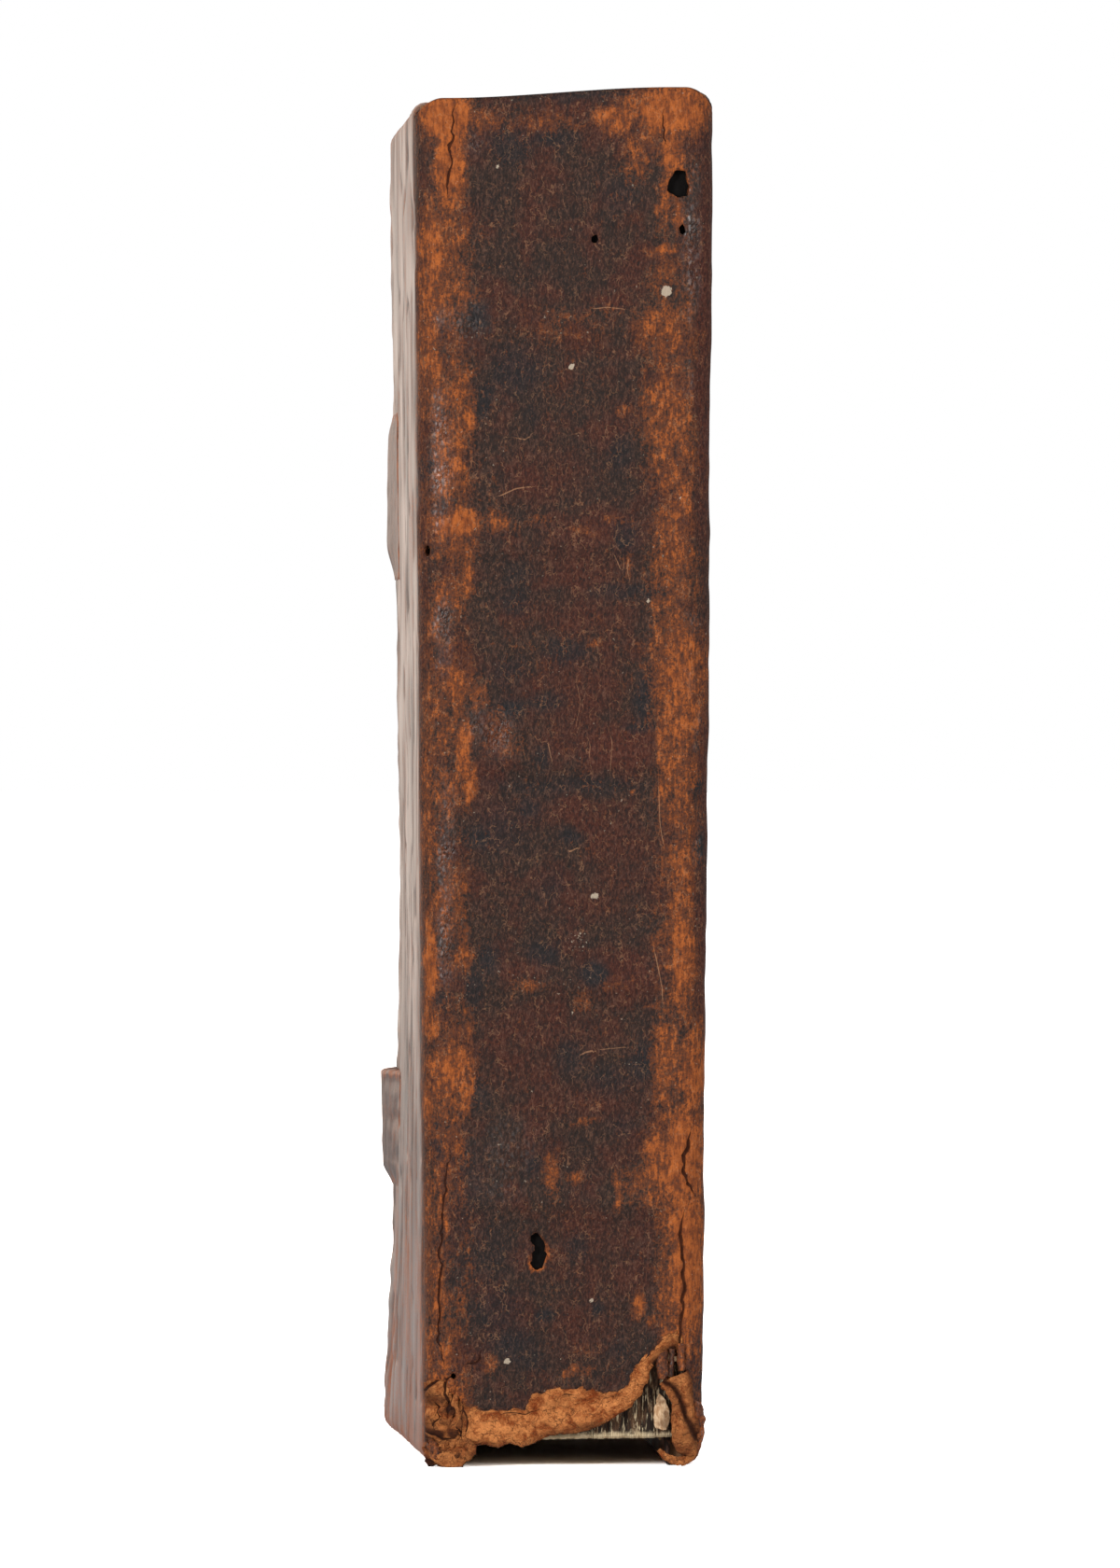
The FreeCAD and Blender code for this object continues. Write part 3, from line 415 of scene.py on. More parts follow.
def spine_relief(x, z):
    """How far the worn leather stands off the plain spine."""
    lean = np.abs(x) / half(z)
    rise = -0.22 * (1.0 - np.clip(lean, 0, 1) ** 2)
    for cord in CORDS:
        band = np.exp(-(((z - cord) / 2.0) ** 2))
        rise = rise + BAND_RISE * band * (1.0 - smooth(0.62, 0.9, lean))
    rise = rise + waves(x, z, (0.11, 11, 9.0, 13.0), (0.06, 12, 3.0, 5.0), (0.025, 13, 1.1, 1.7))
    for swell_x, swell_z, wide, tall, tallest in SPINE_SWELLS:
        rise = rise + tallest * np.exp(-(((x - swell_x) / wide) ** 2) - ((z - swell_z) / tall) ** 2)
    rise = rise + crack_relief(SPINE_CRACKS, *jagged(x, z))
    ridge = np.exp(-(((x - 17.4) / 0.8) ** 2)) - 0.9 * np.exp(-(((x - 19.3) / 0.6) ** 2))
    rise = rise + 0.14 * ridge * smooth(60.0, 75.0, z) * (1.0 - smooth(186.0, 194.0, z))
    grain_gone = smooth(0.25, -0.25, under(GRAIN_EDGE, x, z) + 0.3 * ripple(44, x / 0.8, z / 0.8))
    rise = rise - 0.26 * grain_gone
    edge = torn_outline(x, z)
    band = grain_gone * np.exp(-(((edge - 1.9) / 1.7) ** 2))
    rise = rise + 0.55 * band * (1.0 - smooth(15.0, 17.0, np.abs(x)))
    fold = distance_to(FOLD_LINE, x, z)
    rise = rise + 0.95 * np.exp(-((fold / 1.05) ** 2))
    lumps = np.abs(ripple(14, x / 1.6, z / 1.6)) + 0.5 * np.abs(ripple(15, x / 0.7, z / 0.7))
    corner = smooth(13.6, 15.4, -x) * (1.0 - smooth(9.0, 15.0, z))
    rise = rise + corner * (1.35 * lumps - 0.45)
    right = smooth(15.5, 17.0, x) * (1.0 - smooth(12.0, 22.0, z))
    rise = rise + right * (0.6 * lumps - 0.25)
    rise = rise + grain_gone * waves(x, z, (0.3, 17, 1.5, 1.0), (0.12, 18, 0.6, 0.5))
    holes = hole_field(x, z)
    rise = rise + 0.12 * np.exp(-(((holes - 0.35) / 0.35) ** 2))
    wobble = np.where(x > 0, seam_wobble(1, z), seam_wobble(-1, z)) * smooth(0.9, 0.995, lean)
    return rise * (1.0 - smooth(0.965, 0.9995, lean)) + wobble


def tail_painted_shade(x, z):
    """Painted shade: darker on the torn strip under the rolled fold, in the crumpled corner's creases, beside the
    flap and along the torn foot.
    """
    strip = smooth(0.5, 1.1, distance_to(FOLD_LINE, x, z)) * smooth(5.0, 8.0, x) * smooth(13.6, 12.6, x)
    strip = strip * (z < 16.5) * (under(FOLD_LINE, x, z) < 0)
    creases = smooth(0.1, 0.55, np.abs(ripple(14, x / 1.6, z / 1.6)))
    corner = smooth(12.6, 15.0, -x) * (0.3 + 0.6 * creases) * (1.0 - smooth(10.0, 14.0, z))
    right = smooth(14.0, 16.0, x) * (0.35 + 0.4 * ripple(46, x / 1.5, z / 3.0))
    foot = 0.6 * smooth(1.3, 0.3, torn_outline(x, z)) + 0.3 * ripple(45, x / 2.6, z / 1.5)
    return np.clip(strip + corner + right + foot, 0.0, 1.0)


def leather_layers(tone, finish, line, scratch):
    """The leather's four point layers, each from three values.

    tone: wear, dark, warm. finish: gloss, bare flesh, pale dust. line: crack, crack near, coat.
    scratch: scratch, scratch near, painted shade.
    """
    names = ("tone", "finish", "line", "scratch")
    return {name: np.column_stack(values) for name, values in zip(names, (tone, finish, line, scratch))}


def spine_tones(x, z):
    """What the shader needs to know at each point of the spine."""
    bent_x = x + waves(x, z, (0.55, 21, 1.9, 2.6), (0.22, 22, 0.7, 0.9))
    bent_z = z + waves(x, z, (0.7, 23, 2.1, 2.4), (0.25, 24, 0.8, 0.8))
    flesh = smooth(0.2, -0.2, under(GRAIN_EDGE, x, z) + 0.35 * ripple(44, x / 0.8, z / 0.8))
    drift = waves(x, z, (0.22, 25, 4.0, 9.0), (0.12, 26, 1.5, 3.0))
    left = smooth(-12.0, -15.0, bent_x) * (0.36 + drift) * smooth(198.0, 186.0, z)
    right = smooth(11.5, 14.2, bent_x) * (0.36 + drift) * (1.0 - 0.5 * smooth(160.0, 175.0, z))
    rim = smooth(18.2, 19.6, np.abs(bent_x)) * smooth(20.0, 70.0, z) * np.where(x > 0, 0.75, 0.1)
    zones = np.clip(left + right, 0.0, 1.0) * (1.0 - rim)
    strong = 0.82 * patches_at(SPINE_WEAR, bent_x, bent_z)
    strong = strong * (1.0 - 0.2 * smooth(11.0, 13.0, x) * smooth(62.0, 76.0, z) * smooth(182.0, 160.0, z))
    wear = np.maximum(strong + 0.45 * zones * (1.0 - strong), zones)
    wear = np.maximum(wear + 0.05 + 0.1 * ripple(27, x / 7.0, z / 9.0), flesh)
    large_hole = (np.abs(z - 183.0) < 4.0) | (np.abs(z - 31.0) < 5.0)
    hole_rim = (0.55 + 0.45 * ripple(29, x / 1.2, z / 1.2)) * np.exp(-((hole_field(x, z) / 0.3) ** 2))
    wear = np.maximum(wear, np.where(large_hole, hole_rim, 0.0))
    dark = patches_at(SPINE_DARK, bent_x, bent_z)
    warm = patches_at(SPINE_WARM, bent_x, bent_z)
    gloss = patches_at(SPINE_GLOSS, bent_x, bent_z) * (0.95 + 0.6 * ripple(28, x / 1.2, z / 1.6))
    pale = patches_at(SPINE_PALE, x, z)
    crack, crack_mm = nearest_line(SPINE_CRACKS, *jagged(x, z))
    scratch, scratch_mm = nearest_line(SPINE_SCRATCHES, x, z)
    return leather_layers(
        (wear, dark, warm),
        (gloss, flesh, pale),
        (crack, smooth(2.0, 1.0, np.abs(crack_mm)), np.zeros_like(x)),
        # The last value is painted shade at the torn tail.
        (scratch, smooth(2.0, 1.0, np.abs(scratch_mm)), tail_painted_shade(x, z)),
    )


# Mesh making
def grid_faces(rows, columns):
    """Quads of a grid whose points are numbered row by row."""
    corner = (np.arange(rows - 1)[:, None] * columns + np.arange(columns - 1)[None, :]).ravel()
    return np.column_stack((corner, corner + 1, corner + columns + 1, corner + columns))


def point_normals(points, faces):
    """Average direction of the faces round each point."""
    across = points[faces[:, 2]] - points[faces[:, 0]]
    other = points[faces[:, 3]] - points[faces[:, 1]]
    face_normals = np.cross(across, other)
    normals = np.zeros_like(points)
    for corner in range(4):
        np.add.at(normals, faces[:, corner], face_normals)
    return normals / np.maximum(np.linalg.norm(normals, axis=1), 1e-9)[:, None]


def free_edges(faces, count):
    """Directed edges that only one face uses. A triangle is a quad whose last two corners are one."""
    starts = faces.ravel()
    ends = np.roll(faces, -1, axis=1).ravel()
    real = starts != ends
    starts, ends = starts[real].astype(np.int64), ends[real].astype(np.int64)
    alone = ~np.isin(starts * count + ends, ends * count + starts)
    return np.column_stack((starts[alone], ends[alone]))


def thicken(points, faces, depth):
    """Closes a sheet with an inner wall and a rim along each free edge."""
    count = len(points)
    inner = points - point_normals(points, faces) * depth
    rim = free_edges(faces, count)
    wall = np.column_stack((rim[:, 1], rim[:, 0], rim[:, 0] + count, rim[:, 1] + count))
    return np.vstack((points, inner)), np.vstack((faces, faces[:, ::-1] + count, wall))


def cut_away(s, z, field, faces):
    """Removes the faces where the field is under zero, and moves the points beside it onto the edge."""
    s, z, field = s.copy(), z.copy(), field.copy()
    edges = np.vstack([faces[:, [a, b]] for a, b in ((0, 1), (1, 2), (2, 3), (3, 0))])
    edges = np.vstack((edges, edges[:, ::-1]))
    crossing = field[edges[:, 0]] * field[edges[:, 1]] < 0
    edges = edges[crossing]
    share = field[edges[:, 0]] / (field[edges[:, 0]] - field[edges[:, 1]])
    order = np.argsort(-share)
    edges, share = edges[order], share[order]
    near = share <= 0.5
    moved, towards, share = edges[near, 0], edges[near, 1], share[near]
    new_s, new_z = s.copy(), z.copy()
    new_s[moved] = s[moved] + share * (s[towards] - s[moved])
    new_z[moved] = z[moved] + share * (z[towards] - z[moved])
    field[moved] = 0.0
    values = field[faces]
    kept = values.max(axis=1) > 0
    faces, values = faces[kept], values[kept]
    split = values.min(axis=1) < 0
    whole = faces[~split]
    halves = []
    for face, value in zip(faces[split], values[split]):
        corners = [corner for corner, at in zip(face, value) if at >= 0]
        if len(corners) == 3:
            halves.append(corners + [corners[-1]])
    if halves:
        whole = np.vstack((whole, np.array(halves)))
    return new_s, new_z, whole


def add_object(name, data):
    """A new object at the origin of the scene."""
    added = bpy.data.objects.new(name, data)
    bpy.context.scene.collection.objects.link(added)
    return added


def make_piece(name, points, faces, material, layers=None, shaded_smooth=True):
    """A mesh object in metres from points and quads in millimetres, without unused points."""
    faces = np.asarray(faces)
    used, faces = np.unique(faces, return_inverse=True)
    faces = faces.reshape(-1, 4)
    points = np.asarray(points)[used]
    corners = [list(dict.fromkeys(face)) for face in faces.tolist()]
    mesh = bpy.data.meshes.new(name)
    mesh.from_pydata((points * MM).tolist(), [], corners)
    layers = dict(layers or {})
    layers["rest"] = points
    for layer, values in layers.items():
        values = values if layer == "rest" else np.asarray(values)[used]
        attribute = mesh.attributes.new(layer, "FLOAT_VECTOR", "POINT")
        attribute.data.foreach_set("vector", values.astype(np.float32).ravel())
    mesh.polygons.foreach_set("use_smooth", [shaded_smooth] * len(mesh.polygons))
    mesh.materials.append(material)
    mesh.update()
    return add_object(name, mesh)


def doubled(layers):
    """Layer values for a thickened sheet: the inner wall has those of the outer one."""
    return {name: np.vstack((values, values)) for name, values in layers.items()}


# Shader tools
def srgb(red, green, blue):
    """A colour as seen, from 0 to 255, as the linear numbers that the shader takes."""
    def linear(value):
        value = value / 255.0
        return value / 12.92 if value <= 0.04045 else ((value + 0.055) / 1.055) ** 2.4
    return (linear(red), linear(green), linear(blue), 1.0)


class Wire:
    """A shader output that sums and products turn into Math nodes."""

    def __init__(self, shade, socket):
        self.shade = shade
        self.socket = socket

    def __add__(self, other):
        return self.shade.maths("ADD", self, other)

    def __sub__(self, other):
        return self.shade.maths("SUBTRACT", self, other)

    def __rsub__(self, other):
        return self.shade.maths("SUBTRACT", other, self)

    def __mul__(self, other):
        return self.shade.maths("MULTIPLY", self, other)

    def __abs__(self):
        return self.shade.maths("ABSOLUTE", self)

    __radd__ = __add__
    __rmul__ = __mul__


class NodeTree:
    """A node tree with a short way to add each node."""

    def __init__(self, tree):
        self.tree = tree
        self.tree.nodes.clear()

    def node(self, kind, settings=None, inputs=None, output=0):
        """A node with its settings made first, then the values or links of its sockets."""
        made = self.tree.nodes.new(kind)
        for key, value in (settings or {}).items():
            setattr(made, key, value)
        for key, value in (inputs or {}).items():
            if isinstance(value, Wire):
                self.tree.links.new(value.socket, made.inputs[key])
            else:
                made.inputs[key].default_value = value
        return Wire(self, made.outputs[output]) if made.outputs else None

    def outputs(self, wire, *keys):
        """Several outputs of the node that a wire comes from."""
        return [Wire(self, wire.socket.node.outputs[key]) for key in keys]


class Shade(NodeTree):
    """The nodes of a new material, or of the world."""

    def __init__(self, name, world=None):
        self.material = world or bpy.data.materials.new(name)
        self.material.use_nodes = True
        super().__init__(self.material.node_tree)

    def maths(self, operation, *values):
        return self.node("ShaderNodeMath", {"operation": operation}, dict(enumerate(values)))

    def clamp(self, value):
        return self.node("ShaderNodeClamp", None, {0: value})

    def ease(self, start, end, value):
        """0 before start, 1 after end and an even ease between."""
        settings = {"interpolation_type": "SMOOTHSTEP"}
        flipped = start > end
        first, last = (end, start) if flipped else (start, end)
        ends = {3: 1.0, 4: 0.0} if flipped else {3: 0.0, 4: 1.0}
        return self.node("ShaderNodeMapRange", settings, {0: value, 1: first, 2: last, **ends})

    def mix(self, factor, first, second):
        """A colour between two others."""
        return self.node("ShaderNodeMix", {"data_type": "RGBA"}, {0: factor, 6: first, 7: second}, 2)

    def coats(self, colour, *layers):
        """A colour under others, each given with how far it covers what is below it."""
        for cover, coat in layers:
            colour = self.mix(cover, colour, coat)
        return colour

    def stretch(self, vector, x, y, z):
        """A vector with each part multiplied."""
        return self.node("ShaderNodeVectorMath", {"operation": "MULTIPLY"}, {0: vector, 1: (x, y, z)})

    def shift(self, vector, swirl, reach):
        """A vector moved by a part of another one."""
        moved = {0: vector, 1: self.stretch(swirl, reach, reach, reach)}
        return self.node("ShaderNodeVectorMath", {"operation": "ADD"}, moved)

    def noise(self, vector, scale, detail=2.0, rough=0.5, twist=0.0):
        """Soft noise, with one scale or one for each axis."""
        if isinstance(scale, tuple):
            vector, scale = self.stretch(vector, *scale), 1.0
        inputs = {"Vector": vector, "Scale": scale, "Detail": detail, "Roughness": rough, "Distortion": twist}
        return self.node("ShaderNodeTexNoise", None, inputs)

    def cells(self, vector):
        """Distance to the nearest wall of random cells."""
        inputs = {"Vector": vector, "Scale": 1.0}
        return self.node("ShaderNodeTexVoronoi", {"feature": "DISTANCE_TO_EDGE"}, inputs)

    def layer(self, name):
        """A point layer of the mesh as a vector."""
        return self.node("ShaderNodeAttribute", {"attribute_name": name}, None, 1)

    def parts(self, vector):
        """The three numbers of a vector."""
        return self.outputs(self.node("ShaderNodeSeparateXYZ", None, {0: vector}), 0, 1, 2)

    def bump(self, height_mm):
        """A normal from a height in millimetres."""
        return self.node("ShaderNodeBump", None, {"Strength": 1.0, "Distance": MM, "Height": height_mm})

    def surface(self, colour, roughness, normal, specular=0.2, coat=0.0):
        """Ends the tree in a Principled surface and gives the material."""
        inputs = {
            "Base Color": colour, "Roughness": roughness, "Normal": normal, "Specular IOR Level": specular,
            "Coat Weight": coat, "Coat Roughness": 0.28,
        }
        shader = self.node("ShaderNodeBsdfPrincipled", None, inputs)
        self.node("ShaderNodeOutputMaterial", None, {"Surface": shader})
        return self.material

    def place(self):
        """Object coordinates in millimetres."""
        spot = self.node("ShaderNodeTexCoord", None, None, 3)
        return self.stretch(spot, 1 / MM, 1 / MM, 1 / MM)


# Leather
DARK_BROWN = srgb(42, 26, 19)
BLUE_BLACK = srgb(25, 24, 27)
RED_BROWN = srgb(68, 25, 11)
# The colour of the light grain specks, and of the painted highlight on the raised wrinkles.
GRAIN_HIGHLIGHT_AND_SPECK = srgb(96, 66, 53)
MID_TAN = srgb(88, 46, 24)
TAN_DEEP = srgb(110, 54, 24)
TAN_LIGHT = srgb(164, 88, 38)
SCRATCH_TAN = srgb(158, 114, 82)
FLESH_DEEP = srgb(138, 63, 24)
FLESH_LIGHT = srgb(226, 144, 82)
CRACK_BROWN = srgb(48, 20, 9)
DUST = srgb(176, 160, 140)
# The colour of dark specks, and of the painted shade in the cell hollows.
SPECK_AND_HOLLOW_SHADE_BLACK = srgb(20, 15, 14)


def leather_material(settings):
    """Worn goat grain: dark brown with blue-black and red patches, rubbed through to tan."""
    shade = Shade("worn_leather")
    rest = shade.layer("rest")
    wear, dark, warm = shade.parts(shade.layer("tone"))
    gloss, flesh, pale = shade.parts(shade.layer("finish"))
    crack_at, crack_near, coat = shade.parts(shade.layer("line"))
    scratch_at, scratch_near, dent = shade.parts(shade.layer("scratch"))

    swirl = shade.node("ShaderNodeTexNoise", None, {"Vector": rest, "Scale": 0.9}, 1)
    bent = shade.shift(rest, swirl, 0.5)
    pitch = 1.0 / settings.grain_pitch
    pore_space = shade.stretch(bent, pitch, pitch, pitch * 0.52)
    wall = shade.cells(pore_space)
    wrinkle = shade.ease(0.12, 0.02, wall)
    pore = shade.ease(0.16, 0.48, wall)
    blotch = shade.noise(rest, 0.16, 3.0, 0.6)
    patchy = shade.noise(rest, 0.62, 4.0, 0.62, 0.4)
    streak = shade.noise(rest, (2.1, 2.1, 0.55), 5.0, 0.62)
    speck = shade.noise(rest, 2.6, 4.0, 0.7)
    dust_speck = shade.noise(rest, 1.9, 2.0, 0.5)

    black = shade.clamp(dark * (0.55 + patchy * 0.9) + shade.ease(0.55, 0.75, patchy) * 0.35)
    sand = shade.noise(bent, (2.5, 2.5, 1.25), 3.0, 0.75)
    # Painted highlight: the raised wrinkles between the cells are painted lighter, with light specks of the grain.
    ridge_highlight_and_specks = wrinkle * shade.ease(0.4, 0.66, sand)
    ridge_highlight_and_specks = (ridge_highlight_and_specks * 0.34 + shade.ease(0.46, 0.72, sand) * 0.34) * (1.0 - black * 0.5)
    brown = shade.coats(
        settings.dark,
        (shade.ease(0.42, 0.66, blotch) * 0.75, settings.red),
        (shade.clamp(warm * shade.ease(0.15, 0.6, streak)), settings.red),
        (black, BLUE_BLACK),
        (ridge_highlight_and_specks, GRAIN_HIGHLIGHT_AND_SPECK),
        # Painted shade: the cell hollows are painted darker, with dark specks.
        (shade.clamp(pore * 0.4 + shade.ease(0.56, 0.36, sand) * 0.6), SPECK_AND_HOLLOW_SHADE_BLACK),
    )

    broken = (patchy - 0.5) * 0.8 + (streak - 0.5) * 1.0 + (speck - 0.5) * 1.5
    rub = wear * 0.95 + broken + (wrinkle - pore) * 0.08
    tan = shade.coats(
        settings.tan_deep,
        (shade.ease(0.36, 0.64, patchy * 0.4 + streak * 0.6), settings.tan_light),
        (shade.ease(0.52, 0.66, speck) * 0.5, MID_TAN),
        # Painted shade in the cell hollows of the rubbed leather, with dark specks.
        (pore * 0.22 + shade.ease(0.46, 0.3, sand) * 0.4, CRACK_BROWN),
    )
    rubbed = shade.ease(0.5, 0.86, rub)
    drawn = shade.shift(shade.stretch(rest, 0.52, 0.52, 0.2), swirl, 0.9)
    hairline = shade.ease(0.032, 0.006, shade.cells(drawn)) * shade.ease(0.42, 0.56, patchy)
    hairline = hairline * shade.ease(0.36, 0.54, blotch * 0.5 + streak * 0.5)

    fibre = shade.noise(bent, (1.3, 1.3, 2.3), 5.0, 0.7, 1.2)
    fine_fibre = shade.noise(bent, (2.7, 2.7, 2.0), 4.0, 0.75, 1.2)
    lump = shade.noise(bent, 0.5, 4.0, 0.62, 0.8)
    fold_space = shade.shift(shade.stretch(rest, 0.42, 0.42, 0.55), swirl, 1.1)
    fold = shade.ease(0.05, 0.0, shade.cells(fold_space)) * shade.ease(0.4, 0.6, fibre)
    suede = shade.coats(
        settings.flesh_deep,
        (shade.ease(0.36, 0.6, lump * 0.65 + fibre * 0.35), settings.flesh_light),
        (shade.ease(0.5, 0.34, fine_fibre) * 0.6, MID_TAN),
        (shade.ease(0.56, 0.68, fine_fibre) * 0.7, settings.flesh_light),
        (fold * 0.75, MID_TAN),
        # Painted shade: the bare suede is painted darker under the rolled fold, in creases, on the flap and along
        # the torn foot.
        (shade.clamp(dent * (0.5 + fibre)), MID_TAN),
        (shade.ease(0.62, 1.0, dent) * 0.7, CRACK_BROWN),
    )
    bare = shade.ease(0.35, 0.65, flesh)

    crack = shade.ease(1.0, 0.5, abs(crack_at)) * crack_near
    scratch = shade.ease(1.0, 0.4, abs(scratch_at)) * scratch_near * shade.ease(0.3, 0.55, streak)
    dusty = shade.ease(0.45, 0.62, pale + (speck - 0.5) * 1.3) * shade.ease(0.1, 0.3, pale)
    dusty = shade.clamp(dusty + shade.ease(0.71, 0.76, dust_speck) * 0.45)
    colour = shade.coats(
        brown,
        (shade.ease(0.24, 0.5, rub) * 0.85, MID_TAN),
        (rubbed, tan),
        (hairline * 0.3, SCRATCH_TAN),
        (bare, suede),
        (crack * 0.92, CRACK_BROWN),
        (scratch * 0.6, SCRATCH_TAN),
        (dusty * (1.0 - bare) * 0.8, DUST),
    )

    gloss = shade.clamp(gloss * (1.0 - bare))
    rough = 0.64 + rubbed * 0.14 + bare * 0.3 + (patchy - 0.5) * 0.2 + crack * 0.3 - gloss * 0.4
    raised = shade.ease(0.3, 0.0, wall) * (1.0 - gloss) + shade.ease(0.0, 0.42, wall) * gloss * 1.1
    height = raised * (0.06 - rubbed * 0.03) + sand * 0.07 + streak * 0.09
    suede_height = lump * 0.9 + fibre * 0.5 + fine_fibre * 0.25 - fold * 0.25
    height = height * (1.0 - bare * 0.85) + bare * suede_height
    height = height - crack * 0.35
    glint_space = shade.stretch(bent, 1.35, 1.35, 0.9)
    glint = shade.ease(0.14, 0.34, shade.cells(glint_space)) * shade.ease(0.3, 0.5, speck)
    coat = shade.clamp(coat * (1.1 - rubbed * 0.35) + gloss * glint * 1.6)
    normal = shade.bump(height)
    return shade.surface(colour, shade.clamp(rough), normal, specular=0.2, coat=coat)


# Paper, wood and thread
PAPER_LIGHT = srgb(222, 200, 162)
PAPER_DARK = srgb(168, 136, 96)
FOLD_DARK = srgb(44, 33, 27)
FOLD_BROWN = srgb(92, 66, 46)
GLUE_BROWN = srgb(96, 64, 40)


def leaves_material():
    """Toned leaf edges, with dark glue and pale paper at the folds behind the spine."""
    shade = Shade("leaf_edges")
    place = shade.place()
    _, y, z = shade.parts(place)
    leaf = shade.noise(place, (5.2, 0.05, 0.03), 3.0, 0.7)
    stain = shade.noise(place, 0.07, 4.0, 0.6)
    fine = shade.noise(place, 1.6, 3.0, 0.6)
    colour = shade.mix(shade.ease(0.3, 0.7, leaf), PAPER_DARK, PAPER_LIGHT)
    colour = shade.mix(shade.ease(0.45, 0.75, stain) * 0.5, colour, PAPER_DARK)
    colour = shade.mix(shade.ease(0.5, 0.35, fine) * 0.25, colour, GLUE_BROWN)
    fold = shade.noise(place, (1.35, 0.3, 0.3), 3.0, 0.6, 0.5)
    thin = shade.noise(place, (3.4, 0.6, 0.45), 3.0, 0.7, 0.4)
    glued = shade.mix(shade.ease(0.42, 0.56, fold), FOLD_DARK, FOLD_BROWN)
    glued = shade.mix(shade.ease(0.54, 0.66, thin), glued, PAPER_LIGHT)
    glued = shade.mix(shade.ease(0.5, 0.4, thin) * 0.6, glued, FOLD_DARK)
    foot = shade.ease(5.2, 4.3, z + (fine - 0.5) * 1.6)
    glued = shade.mix(foot * 0.7, glued, PAPER_LIGHT)
    colour = shade.mix(shade.ease(-60.6, -61.3, y), colour, glued)
    height = leaf * 0.12 + fine * 0.05 + thin * 0.1
    return shade.surface(colour, 0.85, shade.bump(height))


def endpaper_material():
    """Aged endpaper with chain lines, foxing and a darker border where the leather touches it."""
    shade = Shade("aged_endpaper")
    place = shade.place()
    _, y, z = shade.parts(place)
    stain = shade.noise(place, 0.03, 4.0, 0.6)
    fine = shade.noise(place, 1.2, 3.0, 0.6)
    fox = shade.noise(place, 0.22, 2.0, 0.5)
    laid = shade.node("ShaderNodeTexWave", {"bands_direction": "Z"}, {"Vector": place, "Scale": 0.32})
    colour = shade.mix(shade.ease(0.3, 0.72, stain), srgb(196, 168, 124), srgb(168, 134, 90))
    colour = shade.mix(shade.ease(0.64, 0.74, fox) * 0.6, colour, srgb(122, 78, 44))
    middle = HEAD_BACK / 2
    edge = shade.maths("MAXIMUM", abs(z - middle) - (middle - 22.0), abs(y) - 40.0)
    colour = shade.mix(shade.ease(-6.0, 18.0, edge + (stain - 0.5) * 20.0) * 0.6, colour, srgb(120, 82, 50))
    colour = shade.mix(shade.ease(0.42, 0.58, fine) * 0.12, colour, srgb(220, 196, 154))
    height = fine * 0.03 + laid * 0.012 + stain * 0.5
    return shade.surface(colour, 0.85, shade.bump(height))


def lining_material():
    """Glue-stained lining, painted near black behind each hole in the leather: painted shade of the hole."""
    shade = Shade("spine_lining")
    place = shade.place()
    x, _, z = shade.parts(place)
    fibre = shade.noise(place, (2.4, 1.0, 1.0), 4.0, 0.65, 0.6)
    stain = shade.noise(place, 0.4, 3.0, 0.6)
    colour = shade.mix(shade.ease(0.35, 0.65, fibre), srgb(168, 128, 92), srgb(216, 184, 148))
    colour = shade.mix(shade.ease(0.45, 0.62, stain) * 0.6, colour, GLUE_BROWN)
    # Painted shade: the lining is painted near black behind each worm hole and the torn hole.
    hole_shade_spots = [(hole[0], hole[1], hole[3]) for hole in WORM_HOLES]
    hole_shade_spots += [(hole_x, hole_z, 1.6) for hole_x, hole_z in KNOCK_HOLE]
    for hole_x, hole_z, reach in hole_shade_spots:
        off_x = abs(x - (hole_x + MIDDLE))
        off_z = abs(z - hole_z)
        near = shade.ease(reach + 2.4, reach + 1.2, shade.maths("MAXIMUM", off_x, off_z))
        colour = shade.mix(near, colour, srgb(12, 9, 8))
    return shade.surface(colour, 0.9, shade.bump(fibre * 0.12), specular=0.15)


def wood_material():
    """Old oak with its rings and pores along the board's height."""
    shade = Shade("old_oak")
    place = shade.place()
    ring = shade.noise(place, (0.7, 0.5, 0.03), 4.0, 0.6, 0.8)
    pore = shade.noise(place, (4.0, 4.0, 0.15), 2.0, 0.6)
    colour = shade.mix(shade.ease(0.35, 0.65, ring), srgb(92, 62, 38), srgb(138, 98, 62))
    colour = shade.mix(shade.ease(0.6, 0.72, pore) * 0.7, colour, srgb(48, 30, 18))
    return shade.surface(colour, 0.75, shade.bump(ring * 0.1 - pore * 0.06), specular=0.25)


def cord_material():
    """Two-ply hemp: slanting strands with fine fibres."""
    shade = Shade("hemp_cord")
    place = shade.place()
    x, y, z = shade.parts(place)
    fine = shade.noise(place, 3.0, 3.0, 0.65)
    turn = shade.maths("SINE", (x + y) * 2.6 + z * 3.4 + fine)
    strand = shade.ease(-0.9, 0.7, turn)
    colour = shade.mix(strand, srgb(96, 72, 44), srgb(176, 146, 100))
    colour = shade.mix(shade.ease(0.4, 0.6, fine) * 0.3, colour, srgb(128, 98, 62))
    return shade.surface(colour, 0.85, shade.bump(strand * 0.3 + fine * 0.1), specular=0.2)


def thread_material():
    """Linen thread of the endband, faded, in turns of two browns."""
    shade = Shade("linen_thread")
    place = shade.place()
    x, _, _ = shade.parts(place)
    fine = shade.noise(place, 4.0, 2.0, 0.6)
    turn = shade.maths("SINE", x * (math.tau / 4.8))
    colour = shade.mix(shade.ease(-0.15, 0.15, turn), srgb(182, 152, 104), srgb(110, 72, 46))
    colour = shade.mix(shade.ease(0.4, 0.65, fine) * 0.3, colour, srgb(84, 60, 40))
    return shade.surface(colour, 0.8, shade.bump(fine * 0.08), specular=0.2)


# Covers
JOINT_STEP = 0.34
FAR_STEP = 1.3
CORNER = 5.0
TURN_IN = 13.0
COVER_ROUND = 1.8


